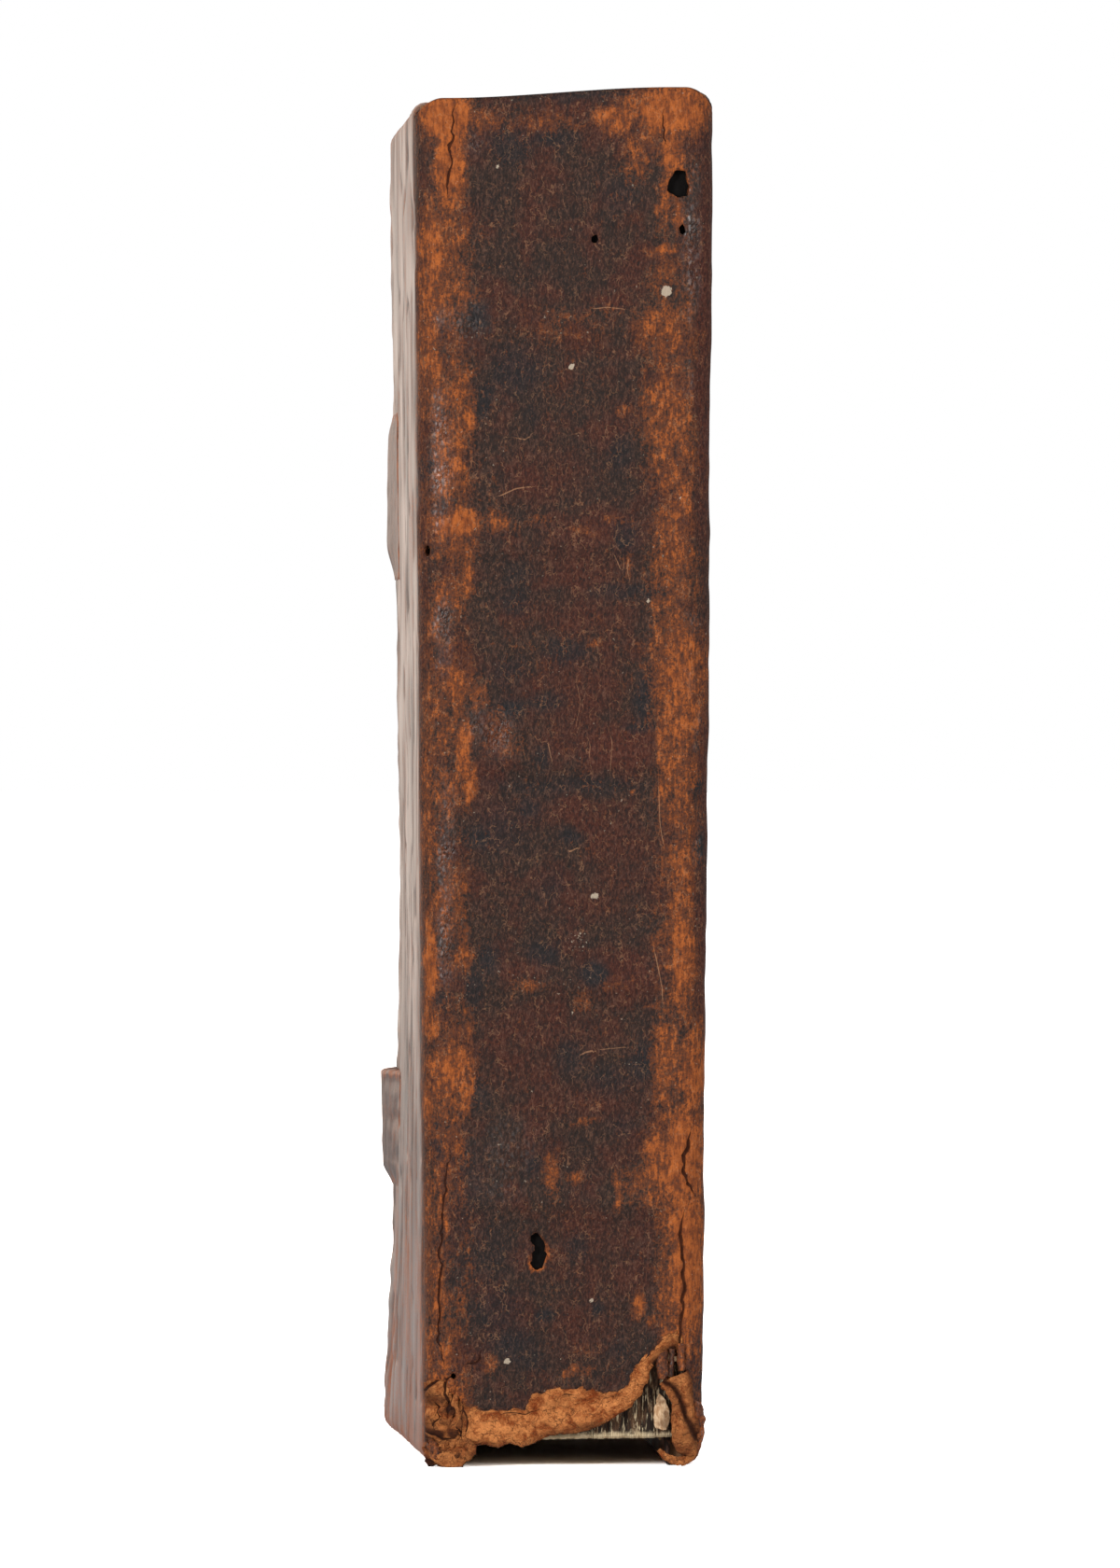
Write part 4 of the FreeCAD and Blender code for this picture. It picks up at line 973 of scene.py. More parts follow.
def back_warp(z):
    """How far the back cover's fore-edge has bent away at a height."""
    heights = [height for height, _ in BACK_WARP]
    bends = [bend for _, bend in BACK_WARP]
    fine = np.linspace(-5.0, HEAD_BACK + 5.0, 400)
    curve = np.interp(fine, heights, bends)
    kernel = np.hanning(41)
    padded = np.pad(curve, 20, mode="edge")
    curve = np.convolve(padded, kernel / kernel.sum(), mode="valid")
    return np.interp(z, fine, curve)


def cover_outer(side, y, z):
    """Outer face of a cover from the book's middle plane, as a distance: side is 1 for the front."""
    out = half(z)
    if side < 0:
        out = out + back_warp(z) * np.clip((y - JOINT_Y) / (FORE_Y - JOINT_Y), 0.0, 1.0)
    return out


def cover_lines(side):
    """Long cracks in the leather beside the joint, and a few scratches out on the board."""
    rng = np.random.default_rng(60 + side)
    lines = []
    for y in (-54.5, -50.0, -44.0, -33.0, -18.0, 6.0, 34.0):
        start = rng.uniform(8.0, 60.0)
        for _ in range(2):
            end = start + rng.uniform(30.0, 90.0)
            heights = np.linspace(start, min(end, 188.0), 7)
            wander = np.cumsum(rng.uniform(-0.5, 0.5, 7))
            lines.append((tuple(zip(y + wander, heights)), 0.16))
            start = end + rng.uniform(4.0, 25.0)
            if start > 170.0:
                break
    return tuple(lines)


COVER_CRACKS = {1: cover_lines(1), -1: cover_lines(-1)}


def cover_creases(side, y, z):
    """Long broken creases that old leather gets along the board's height."""
    line = np.exp(-((ripple(77 + side, y / 8.0, z / 16.0) / 0.15) ** 2))
    return line * smooth(-0.35, 0.25, ripple(79 + side, y / 7.0, z / 3.2))


def cover_relief(side, y, z):
    """How far the leather stands off a flat board: a soft groove at the joint, dents and cracks."""
    top = HEAD_FRONT if side > 0 else HEAD_BACK
    groove = -0.28 * np.exp(-(((y - JOINT_Y - 2.6) / 1.5) ** 2))
    bulges = waves(
        y, z, (0.14, 31 + side, 16.0, 21.0), (0.07, 33 + side, 4.5, 15.0), (0.025, 35 + side, 1.4, 1.9),
    )
    bulges = bulges - 0.24 * cover_creases(side, y, z)
    rise = groove + bulges + crack_relief(COVER_CRACKS[side], y, z)
    rise = rise + 0.14 * ripple(81 + side, y / 9.0, z / 2.4) * smooth(FORE_Y - 16.0, FORE_Y - 3.0, y)
    edge = np.minimum(np.minimum(z, top - z), FORE_Y - y)
    rise = rise - 0.25 * np.exp(-np.clip(edge, 0.0, None) / 1.2)
    return rise * smooth(SEAM_Y, SEAM_Y + 1.2, y) + seam_wobble(side, z) * smooth(SEAM_Y + 7.0, SEAM_Y, y)


def cover_tones(side, y, z):
    """Wear on a cover: rubbed edges, corners and joint, blots where it was handled, and painted shade in the
    creases.
    """
    top = HEAD_FRONT if side > 0 else HEAD_BACK
    bent_y = y + waves(y, z, (1.6, 51 + side, 5.0, 6.0), (0.5, 53 + side, 1.7, 2.0))
    bent_z = z + waves(y, z, (1.6, 55 + side, 6.0, 5.0), (0.5, 57 + side, 1.8, 1.6))
    edge = np.minimum(np.minimum(bent_z, top - bent_z), FORE_Y - bent_y)
    corner = np.minimum(np.hypot(FORE_Y - bent_y, bent_z), np.hypot(FORE_Y - bent_y, top - bent_z))
    joint = bent_y - JOINT_Y
    wear = 0.42 * np.exp(-np.clip(edge, 0, None) / 1.7) + 0.5 * np.exp(-((corner / 9.0) ** 2))
    wear = wear + waves(y, z, (0.16, 59 + side, 16.0, 30.0), (0.2, 69 + side, 5.0, 26.0))
    wear = wear + 0.36 + 0.16 * ripple(61 + side, y / 4.0, z / 9.0) + 0.3 * smooth(60.0, 10.0, z)
    wear = wear * smooth(-1.0, 8.0, joint) + (0.16 if side > 0 else 0.44) * smooth(8.0, -1.0, joint)
    dark = 0.2 + 0.4 * ripple(63 + side, y / 9.0, z / 24.0)
    dark = dark + 1.1 * smooth(0.12, 0.5, ripple(73 + side, y / 5.5, z / 12.0))
    warm = 0.35 + 0.6 * ripple(65 + side, y / 10.0, z / 14.0)
    crease = cover_creases(side, y, z)
    # Painted shade: the creases are also painted darker.
    dark = dark + 0.8 * crease
    coat = smooth(2.0, 9.0, joint) * (0.62 + 0.3 * ripple(67 + side, y / 8.0, z / 9.0)) * (1.0 - 0.6 * crease)
    zero = np.zeros_like(y)
    crack, crack_mm = nearest_line(COVER_CRACKS[side], y, z)
    return leather_layers(
        (np.clip(wear, 0, 1), np.clip(dark, 0, 1), np.clip(warm, 0, 1)),
        (zero, zero, zero),
        (crack, smooth(2.0, 1.0, np.abs(crack_mm)), np.clip(coat, 0, 1)),
        (zero + FAR_OFF, zero, zero),
    )


def row_shares():
    """Heights of the rows, as shares of the whole up to the rounded head edge."""
    top = HEAD_BACK - EDGE_ROUND
    tail = np.arange(0.0, TAIL_ROWS_TO, ROW_TAIL)
    return np.concatenate((tail, np.arange(TAIL_ROWS_TO, top, ROW_BODY))) / top


def spine_sheet():
    """The whole outer sheet of the spine as distances round it and heights, before it is torn."""
    side = np.linspace(0.0, 1.0, SIDE_COLUMNS + 1)[:-1]
    arc = np.linspace(0.0, 1.0, ARC_COLUMNS + 1)[:-1]
    flat = np.linspace(-1.0, 1.0, FLAT_COLUMNS)
    quarter = SHOULDER * math.pi / 2
    straight = SEAM_Y - SPINE_Y - SHOULDER
    outer = np.concatenate((quarter + straight * (1.0 - side), quarter * (1.0 - arc)))
    rows = []
    for share in row_shares():
        z = share * (HEAD_BACK - EDGE_ROUND)
        reach = half(z) - SHOULDER
        s = np.concatenate((-(reach + outer), flat * reach, (reach + outer)[::-1]))
        x = spine_base(s, z)[0]
        rows.append((s, share * (head_at(x) - EDGE_ROUND), np.zeros_like(s)))
    last_s, last_z, _ = rows[-1]
    for angle in np.linspace(0.0, math.pi / 2, 5)[1:]:
        inset = np.full_like(last_s, EDGE_ROUND * (1 - math.cos(angle)))
        rows.append((last_s, last_z + EDGE_ROUND * math.sin(angle), inset))
    top_z = rows[-1][1]
    for inset in np.linspace(EDGE_ROUND, CAP_INSET, 5)[1:]:
        rows.append((last_s, top_z - 0.05 * (inset - EDGE_ROUND), np.full_like(last_s, inset)))
    for drop in np.linspace(0.0, CAP_DROP, 5)[1:]:
        rows.append((last_s, top_z - 0.1 - drop, np.full_like(last_s, CAP_INSET + 0.25)))
    return tuple(np.array(values) for values in zip(*rows))


def build_spine_leather(settings, material):
    """The spine's leather, torn at the tail and pierced by the worm holes."""
    s, z, inset = spine_sheet()
    rows, columns = s.shape
    faces = grid_faces(rows, columns)
    s, z, inset = s.ravel(), z.ravel(), inset.ravel()
    x = spine_base(s, z)[0]
    field = np.minimum(torn_outline(x, z), hole_field(x, z))
    field = np.where(inset > 0, 9.0, field)
    field = np.where(np.abs(field) < 1e-6, 1e-6, field)
    s, z, faces = cut_away(s, z, field, faces)
    x, y, out_x, out_y = spine_base(s, z)
    rise = spine_relief(x, z) * smooth(EDGE_ROUND * 3, 0.0, inset) - inset
    side_limit = np.where(np.abs(out_x) > 0.5, np.maximum(rise, -SHOULDER + 0.3), rise)
    foot_z = foot_lift(x, y, np.maximum(z, 0.02))
    points = np.column_stack((x + out_x * side_limit + MIDDLE, y + out_y * side_limit, foot_z))
    layers = spine_tones(x, z)
    points, faces = thicken(points, faces, settings.wall)
    piece = make_piece("spine_skin", points, faces, material, doubled(layers))
    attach(piece, "text_and_spine")
    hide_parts("spine_leather")
    return piece


def cover_lattice(side):
    """Rows and columns over a cover's outer face, from the seam to the fore-edge, with round corners."""
    top = HEAD_FRONT if side > 0 else HEAD_BACK
    near = np.arange(SEAM_Y, JOINT_Y + 6.0, JOINT_STEP)
    far = np.arange(near[-1], FORE_Y - COVER_ROUND - CORNER, FAR_STEP)[1:]
    corner = np.linspace(FORE_Y - COVER_ROUND - CORNER, FORE_Y - COVER_ROUND, 8)
    columns = np.concatenate((near, far, corner))
    shares = row_shares()
    heights = COVER_ROUND + shares * (top - 2 * COVER_ROUND)
    y, z = np.meshgrid(columns, heights)
    z = z - 0.9 * smooth(JOINT_Y + 9.0, JOINT_Y - 1.0, y) * smooth(top - 12.0, top - 2.0, z)
    for low_z, sign in ((COVER_ROUND + CORNER, -1.0), (top - COVER_ROUND - CORNER, 1.0)):
        across = np.clip((y - (FORE_Y - COVER_ROUND - CORNER)) / CORNER, 0.0, 1.0)
        along = np.clip(sign * (z - low_z) / CORNER, 0.0, 1.0)
        both = (across > 0) & (along > 0)
        y = np.where(both, FORE_Y - COVER_ROUND - CORNER + CORNER * across * np.sqrt(1 - along**2 / 2), y)
        z = np.where(both, low_z + sign * CORNER * along * np.sqrt(1 - across**2 / 2), z)
    return y, z, top


def rim_profile():
    """Insets from the outline and depths into the cover, from the outer face round to the turn-in's end."""
    turns = np.linspace(0.0, math.pi / 2, 5)
    inner = 0.6
    profile = [(COVER_ROUND * (1 - math.sin(a)), COVER_ROUND * (1 - math.cos(a))) for a in turns[1:]]
    profile += [(0.0, depth) for depth in np.linspace(COVER_ROUND, COVER_THICK - inner, 5)[1:]]
    profile += [
        (inner * (1 - math.cos(a)), COVER_THICK - inner + inner * math.sin(a)) for a in turns[1:]
    ]
    profile += [(inset, COVER_THICK) for inset in (1.6, 3.0, 4.99, 7.5, 10.0, TURN_IN)]
    return profile


def outline_of(rows, columns):
    """Numbers of the lattice points along the tail, the fore-edge and the head, in order."""
    grid = np.arange(rows * columns).reshape(rows, columns)
    return np.concatenate((grid[0, :], grid[1:, -1], grid[-1, -2::-1]))


def build_cover_leather(settings, material, side, name, node):
    """One cover's leather: its outer face, its rounded edges and the turn-ins inside."""
    y, z, top = cover_lattice(side)
    rows, columns = y.shape
    faces = grid_faces(rows, columns)
    path = outline_of(rows, columns)
    y, z = y.ravel(), z.ravel()
    path_y, path_z = y[path], z[path]
    centre_y = np.minimum(path_y, FORE_Y - COVER_ROUND - CORNER)
    centre_z = np.clip(path_z, COVER_ROUND + CORNER, top - COVER_ROUND - CORNER)
    out_y = path_y - centre_y
    out_z = path_z - centre_z
    length = np.maximum(np.hypot(out_y, out_z), 1e-6)
    out_y, out_z = out_y / length, out_z / length
    all_y, all_z, depth = [y], [z], [np.zeros_like(y)]
    loop = path
    count = len(y)
    loops = [faces]
    for inset, down in rim_profile():
        move = COVER_ROUND - inset
        reach = CORNER + move
        if inset < CORNER + COVER_ROUND:
            new_y = centre_y + out_y * reach * (length / CORNER)
            new_z = centre_z + out_z * reach * (length / CORNER)
        else:
            past = inset - CORNER - COVER_ROUND
            border = COVER_ROUND + CORNER + past
            new_y = np.minimum(path_y, FORE_Y - border)
            new_z = np.clip(path_z, border, top - border)
        new_loop = np.arange(count, count + len(path))
        count += len(path)
        loops.append(np.column_stack((loop[:-1], new_loop[:-1], new_loop[1:], loop[1:])))
        all_y.append(new_y)
        all_z.append(new_z)
        depth.append(np.full(len(path), down))
        loop = new_loop
    y, z, depth = np.concatenate(all_y), np.concatenate(all_z), np.concatenate(depth)
    faces = np.vstack(loops)
    rise = cover_relief(side, y, z) * smooth(COVER_THICK, COVER_THICK - 2.0, depth)
    wobble = 0.12 * ripple(71 + side, y / 2.2, z / 2.2) * smooth(0.1, 1.5, depth)
    x = side * (cover_outer(side, y, z) + rise + wobble * (depth > COVER_THICK - 0.1) * 0.5 - depth)
    points = np.column_stack((x + MIDDLE, y, foot_lift(x, y, np.maximum(z, 0.02))))
    if side < 0:
        faces = faces[:, ::-1]
    layers = cover_tones(side, y, z)
    points, faces = thicken(points, faces, settings.wall * 0.6)
    piece = make_piece(name, points, faces, material, doubled(layers))
    start = (0.0, (JOINT_Y - 1.0) * MM, 0.0)
    end = (0.0, (JOINT_Y + 1.0) * MM, 0.0)
    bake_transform(piece)
    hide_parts(node)
    return piece


# Small torn pieces at the tail
def on_spine(x, z, out):
    """A point a little out from the plain spine, in the part's frame."""
    flat = half(z) - SHOULDER
    lean = np.clip((np.abs(x) - flat) / SHOULDER, 0.0, 0.995)
    s = np.where(np.abs(x) <= flat, x, np.sign(x) * (flat + SHOULDER * np.arcsin(lean)))
    base_x, base_y, out_x, out_y = spine_base(s, z)
    foot_z = foot_lift(base_x, base_y, np.maximum(z, 0.05))
    return np.column_stack((base_x + out_x * out + MIDDLE, base_y + out_y * out, foot_z))


def along(line, count):
    """Evenly spaced points along a line of points."""
    points = np.array(line, float)
    run = np.concatenate(([0.0], np.cumsum(np.linalg.norm(np.diff(points, axis=0), axis=1))))
    share = np.linspace(0.0, run[-1], count)
    return np.column_stack([np.interp(share, run, points[:, axis]) for axis in range(points.shape[1])])


# The shade value given here is painted shade that darkens the piece's bare leather.
def plain_layers(count, wear, flesh, gloss=0.0, dent=0.0, coat=0.0):
    """Leather layers with one value each for a small piece."""
    zero = np.zeros(count)
    return leather_layers(
        (zero + wear, zero, zero),
        (zero + gloss, zero + flesh, zero),
        (zero + FAR_OFF, zero, zero + coat),
        (zero + FAR_OFF, zero, zero + dent),
    )


def arch(foot, rise):
    """The height of a scrap that stands up between its two edges."""
    return lambda u, v: foot + rise * np.sin(math.pi * u)


def rag(name, left, right, lift, material, seed, grid, thick, lumps=0.3, painted_shade_at=None, **tones):
    """A torn scrap between two edges, from its top down: lift is its height, and a last function, if given, its
    painted shade.

    grid is its rows and columns.
    """
    rows, columns = grid
    left_edge, right_edge = along(left, rows), along(right, rows)
    u, v = np.meshgrid(np.linspace(0.0, 1.0, columns), np.linspace(0.0, 1.0, rows))
    x = left_edge[:, :1] * (1 - u) + right_edge[:, :1] * u
    z = left_edge[:, 1:2] * (1 - u) + right_edge[:, 1:2] * u
    rag_x = x + 0.12 * ripple(seed, x / 0.5, z / 0.5)
    rag_z = z + 0.12 * ripple(seed + 1, x / 0.5, z / 0.5)
    x, z, u, v = rag_x.ravel(), rag_z.ravel(), u.ravel(), v.ravel()
    lump = ripple(seed + 2, x / 1.1, z / 1.5) + 0.4 * ripple(seed + 3, x / 0.4, z / 0.5)
    out = lift(u, v) + lumps * lump
    points = on_spine(x, z, out)
    faces = grid_faces(rows, columns)[:, ::-1]
    layers = plain_layers(len(points), **tones)
    if painted_shade_at is not None:
        layers["scratch"][:, 2] = np.clip(painted_shade_at(u, v) + 0.25 * ripple(seed + 4, x / 0.8, z / 1.6), 0, 1)
    points, faces = thicken(points, faces, thick)
    piece = make_piece(name, points, faces, material, doubled(layers))
    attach(piece, "text_and_spine")
    return piece


def roll(name, path, radii, material, seed, **tones):
    """A lumpy rolled edge of leather along a path of x, z and height out from the spine."""
    turns, count, flat = 14, 60, 0.75
    centre = along(path, count)
    radius = np.interp(np.linspace(0, 1, count), np.linspace(0, 1, len(radii)), radii)
    step = np.gradient(centre[:, :2], axis=0)
    step = step / np.linalg.norm(step, axis=1)[:, None]
    angle = np.linspace(0.0, math.tau, turns, endpoint=False)
    a, row = np.meshgrid(angle, np.arange(count))
    lump = 1.0 + 0.22 * ripple(seed, row / 3.0, 3 * np.cos(a), 3 * np.sin(a))
    lump = lump + 0.1 * ripple(seed + 1, row / 1.3, 5 * np.cos(a), 5 * np.sin(a))
    across = radius[row] * lump * np.cos(a)
    x = centre[row, 0] + step[row, 1] * across
    z = centre[row, 1] - step[row, 0] * across
    out = centre[row, 2] + flat * radius[row] * lump * np.sin(a)
    points = on_spine(x.ravel(), z.ravel(), out.ravel())
    points = np.vstack((points, points[:turns].mean(axis=0), points[-turns:].mean(axis=0)))
    ring = np.arange(turns)
    after = (ring + 1) % turns
    rows = np.arange(count - 1)[:, None] * turns
    corners = (rows + ring, rows + after, rows + turns + after, rows + turns + ring)
    faces = np.column_stack([corner.ravel() for corner in corners])
    first, last = count * turns, count * turns + 1
    start = np.column_stack((after, ring, np.full(turns, first), np.full(turns, first)))
    end_ring = (count - 1) * turns
    end = np.column_stack((end_ring + ring, end_ring + after, np.full(turns, last), np.full(turns, last)))
    faces = np.vstack((faces, start, end))
    piece = make_piece(name, points, faces, material, plain_layers(len(points), **tones))
    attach(piece, "text_and_spine")
    return piece


def furrow_at(u, v):
    """How far a point of the tail's flap is from the furrow that runs down it aslant."""
    return u - 0.2 - 0.7 * v


def flap_lift(u, v):
    """The height of the flap: swollen, with the furrow pressed in."""
    swollen = 0.95 * np.sin(math.pi * u) ** 0.7 * (0.5 + v * 0.6)
    return 0.35 + swollen - 0.7 * np.exp(-((furrow_at(u, v) / 0.09) ** 2))


def flap_painted_shade(u, v):
    """The painted shade of the flap: darker in the furrow, at its side and at its foot."""
    furrow = 0.7 * np.exp(-((furrow_at(u, v) / 0.13) ** 2))
    return 0.3 + furrow + 0.4 * smooth(0.75, 1.0, u) + 0.35 * smooth(0.6, 1.0, v)


def build_tail_scraps(leather, lining):
    """The roll along the tear, the flap and curls at both corners, the strips and the lining scrap."""
    bare = {"wear": 1.0, "flesh": 1.0}
    # Where a roll, curl or scrap is given a shade value, that is painted shade.
    rolls = (
        ("tail_roll", 301, (0.5, 0.95, 1.2, 1.25, 1.15, 1.0, 0.6), bare,
         ((3.2, 6.3, -0.5), (5.4, 7.3, 0.0), (7.8, 8.9, 0.3), (9.9, 11.1, 0.35), (11.0, 13.4, 0.3),
          (11.9, 15.4, 0.2), (13.2, 16.8, -0.1))),
        ("left_curl", 305, (0.5, 0.75, 0.8, 0.7, 0.5), {**bare, "dent": 0.5},
         ((-15.0, 3.8, 0.1), (-13.9, 3.5, 0.3), (-13.3, 2.5, 0.3), (-13.9, 1.5, 0.2), (-15.0, 1.3, 0.1))),
        ("left_knot", 309, (0.5, 0.8, 0.8, 0.5), {"wear": 0.62, "flesh": 0.3, "gloss": 0.2},
         ((-19.2, 3.6, 0.0), (-18.6, 2.6, 0.25), (-18.0, 1.3, 0.2), (-16.8, 1.2, 0.1))),
        ("left_seam", 313, (0.35, 0.5, 0.42, 0.55, 0.45, 0.4), {**bare, "dent": 0.35},
         ((-15.3, 10.6, -0.2), (-15.8, 9.0, 0.1), (-15.2, 7.4, 0.15), (-15.9, 5.8, 0.1),
          (-15.3, 4.4, 0.1), (-16.2, 2.9, 0.0))),
    )
    pieces = [roll(name, path, radii, leather, seed, **tones) for name, seed, radii, tones, path in rolls]
    pieces.append(rag(
        "left_foot", ((-20.0, 1.7), (-19.0, 0.8), (-17.5, 0.1)), ((-14.2, 2.8), (-13.9, 1.4), (-14.6, 0.1)),
        lambda u, v: 0.35 + 0.5 * np.sin(3.1 * u) * v, leather, 317, (14, 24), 0.7, **bare, dent=0.3,
    ))
    pieces.append(rag(
        "tail_flap",
        ((13.5, 11.9), (14.5, 10.6), (15.2, 9.2), (15.2, 5.4), (15.3, 3.4), (16.2, 2.0), (17.3, 1.2)),
        ((16.2, 13.3), (17.7, 13.8), (18.1, 12.0), (18.4, 9.0), (18.9, 6.0), (19.5, 3.6), (18.4, 1.3)),
        flap_lift, leather, 321, (60, 28), 0.9, painted_shade_at=flap_painted_shade, **bare,
    ))
    pieces.append(rag(
        "tail_flap_edge", ((18.0, 9.6), (18.2, 7.0), (18.7, 4.8), (18.4, 2.8), (17.8, 1.4)),
        ((19.4, 9.0), (19.6, 6.4), (19.75, 4.2), (19.7, 3.0), (18.9, 1.4)),
        arch(0.4, 0.55), leather, 325, (40, 16), 0.6, wear=0.62, flesh=0.0, gloss=0.3,
    ))
    pieces.append(roll(
        "tail_curl",
        ((13.4, 2.5, 0.3), (14.3, 1.5, 0.35), (15.6, 0.95, 0.4), (17.0, 0.75, 0.4), (18.4, 0.8, 0.2)),
        (0.3, 0.5, 0.6, 0.7, 0.5), leather, 329, **bare, dent=0.2,
    ))
    strips = (
        (((13.1, 17.2), (12.9, 15.0), (13.3, 12.4)), ((14.6, 17.6), (14.8, 15.0), (14.9, 12.8)),
         arch(0.15, 0.4), (22, 10), 0.6, 0.15, {"wear": 0.45, "gloss": 0.2}),
        (((14.9, 16.9), (14.9, 14.8), (14.8, 13.0)), ((15.7, 16.9), (15.6, 14.8), (15.6, 13.0)),
         arch(0.2, 0.3), (20, 8), 0.5, 0.1, {"wear": 0.3, "gloss": 0.4}),
        (((16.1, 17.6), (16.0, 15.8), (16.2, 13.6)), ((17.1, 17.6), (17.2, 15.6), (17.2, 13.8)),
         arch(0.2, 0.35), (20, 8), 0.5, 0.12, {"wear": 0.6, "gloss": 0.2}),
    )
    for number, (left, right, lift, grid, thick, lumps, tones) in enumerate(strips, 1):
        name, seed = f"tail_strip_{number}", 329 + 4 * number
        pieces.append(rag(name, left, right, lift, leather, seed, grid, thick, lumps, flesh=0.0, **tones))
    scrap = rag(
        "lining_scrap", ((13.5, 10.4), (12.9, 8.6), (12.7, 6.8), (12.9, 5.5)),
        ((14.4, 9.6), (15.0, 8.0), (15.1, 6.4), (14.6, 5.2)),
        lambda u, v: -1.0 + 0.25 * v, lining, 345, (40, 16), 0.35, 0.12, wear=0.0, flesh=0.0,
    )
    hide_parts("tail_lining_scrap")


# Leaves
LEAF_COUNT = 120
GATHER = 8
FOLD_BACK_Y = -61.7
TEXT_INSET = 5.95
SHOULDER_INSET = 1.75
FORE_HOLLOW = 2.2
FLARE_START = -57.45
FLARE_END = -60.6
EDGE_POINTS = 15
FORE_POINTS = 5
BACK_POINTS = 4


def leaf_outline(share, wave):
    """One leaf's outline from the fold round to the fore-edge, as y, z and how far it has flared in."""
    in_gather = (share * LEAF_COUNT / GATHER) % 1.0 * 2.0 - 1.0
    back = FOLD_BACK_Y + 0.55 * in_gather**2
    lean = share * 2.0 - 1.0
    fore = high("text_block").y - FORE_HOLLOW * (1.0 - lean**2) + 0.12 * wave
    tail = 3.75 + 0.22 * (1.0 + lean) + 0.1 * wave
    low_head, high_head = high("back_flyleaf").z, high("text_block").z
    head = low_head + (high_head - low_head) * share + 0.12 * wave - 0.2
    near = [back, back + 0.3, back + 0.8, *np.linspace(-60.0, -56.5, 8)]
    y_steps = np.array([*near, -40.0, 0.0, 40.0, fore - 0.3])
    tail_side = np.column_stack((y_steps, np.full(len(y_steps), tail)))
    tail_side[0, 1] += 0.35
    tail_side[1, 1] += 0.08
    fore_side = np.array([[fore, tail + 0.3], [fore, 50.0], [fore, 100.0], [fore, 150.0], [fore, head - 0.3]])
    head_side = np.column_stack((y_steps[::-1], np.full(len(y_steps), head)))
    head_side[-1, 1] -= 0.35
    back_side = np.array([[back, z] for z in (160.0, 120.0, 80.0, 40.0)])
    return np.vstack((tail_side, fore_side, head_side, back_side))


def fan(ids):
    """Triangles from the first of some points to each pair of the others."""
    return [[ids[0], ids[k], ids[k + 1], ids[k + 1]] for k in range(1, len(ids) - 1)]


def build_leaves(material):
    """The text block as closed bundles of leaves, fanned out to the shoulders behind the spine."""
    rng = np.random.default_rng(9)
    wave = np.cumsum(rng.normal(0.0, 0.5, LEAF_COUNT))
    wave = np.clip(wave - np.linspace(0.0, wave[-1], LEAF_COUNT), -1.5, 1.5) * 0.6
    wave = wave + rng.uniform(-0.6, 0.6, LEAF_COUNT)
    all_points, all_faces, start = [], [], 0
    for number in range(LEAF_COUNT):
        share = (number + 0.5) / LEAF_COUNT
        outline = leaf_outline(share, wave[number])
        count = len(outline)
        flare = smooth(FLARE_START, FLARE_END, outline[:, 0])
        width = half(outline[:, 1]) - TEXT_INSET + (TEXT_INSET - SHOULDER_INSET) * flare
        for side in (-0.47, 0.47):
            place = ((number + 0.5 + side) / LEAF_COUNT * 2.0 - 1.0) * width
            all_points.append(np.column_stack((place + MIDDLE, outline)))
        ring = np.arange(count)
        after = (ring + 1) % count
        all_faces.append(np.column_stack((ring, after, after + count, ring + count)) + start)
        tail_ids = np.arange(EDGE_POINTS)
        head_ids = EDGE_POINTS + FORE_POINTS + tail_ids[::-1]
        quads = np.column_stack((tail_ids[:-1], tail_ids[1:], head_ids[1:], head_ids[:-1]))
        fore = np.arange(EDGE_POINTS - 1, EDGE_POINTS + FORE_POINTS + 1)
        back = np.append(np.arange(count - BACK_POINTS - 1, count), 0)
        part = np.vstack((quads, fan(fore), fan(back)))
        all_faces.append(part[:, ::-1] + start)
        all_faces.append(part + count + start)
        start += 2 * count
    piece = make_piece("leaves", np.vstack(all_points), np.vstack(all_faces), material, None, False)
    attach(piece, "text_and_spine")
    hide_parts("text_block")
    return piece


# Straps
def upper_strap_rise(v):
    """The upper strap's thickness from its foot to its head: it swells above the foot."""
    return (0.75 + 0.65 * (1.0 - v)) * smooth(0.0, 0.26, v) * smooth(1.02, 0.84, v)


def lower_strap_rise(v):
    """The lower strap's thickness: torn square at its head, where it has lifted."""
    return (1.55 + 0.85 * v) * smooth(-0.02, 0.2, v)


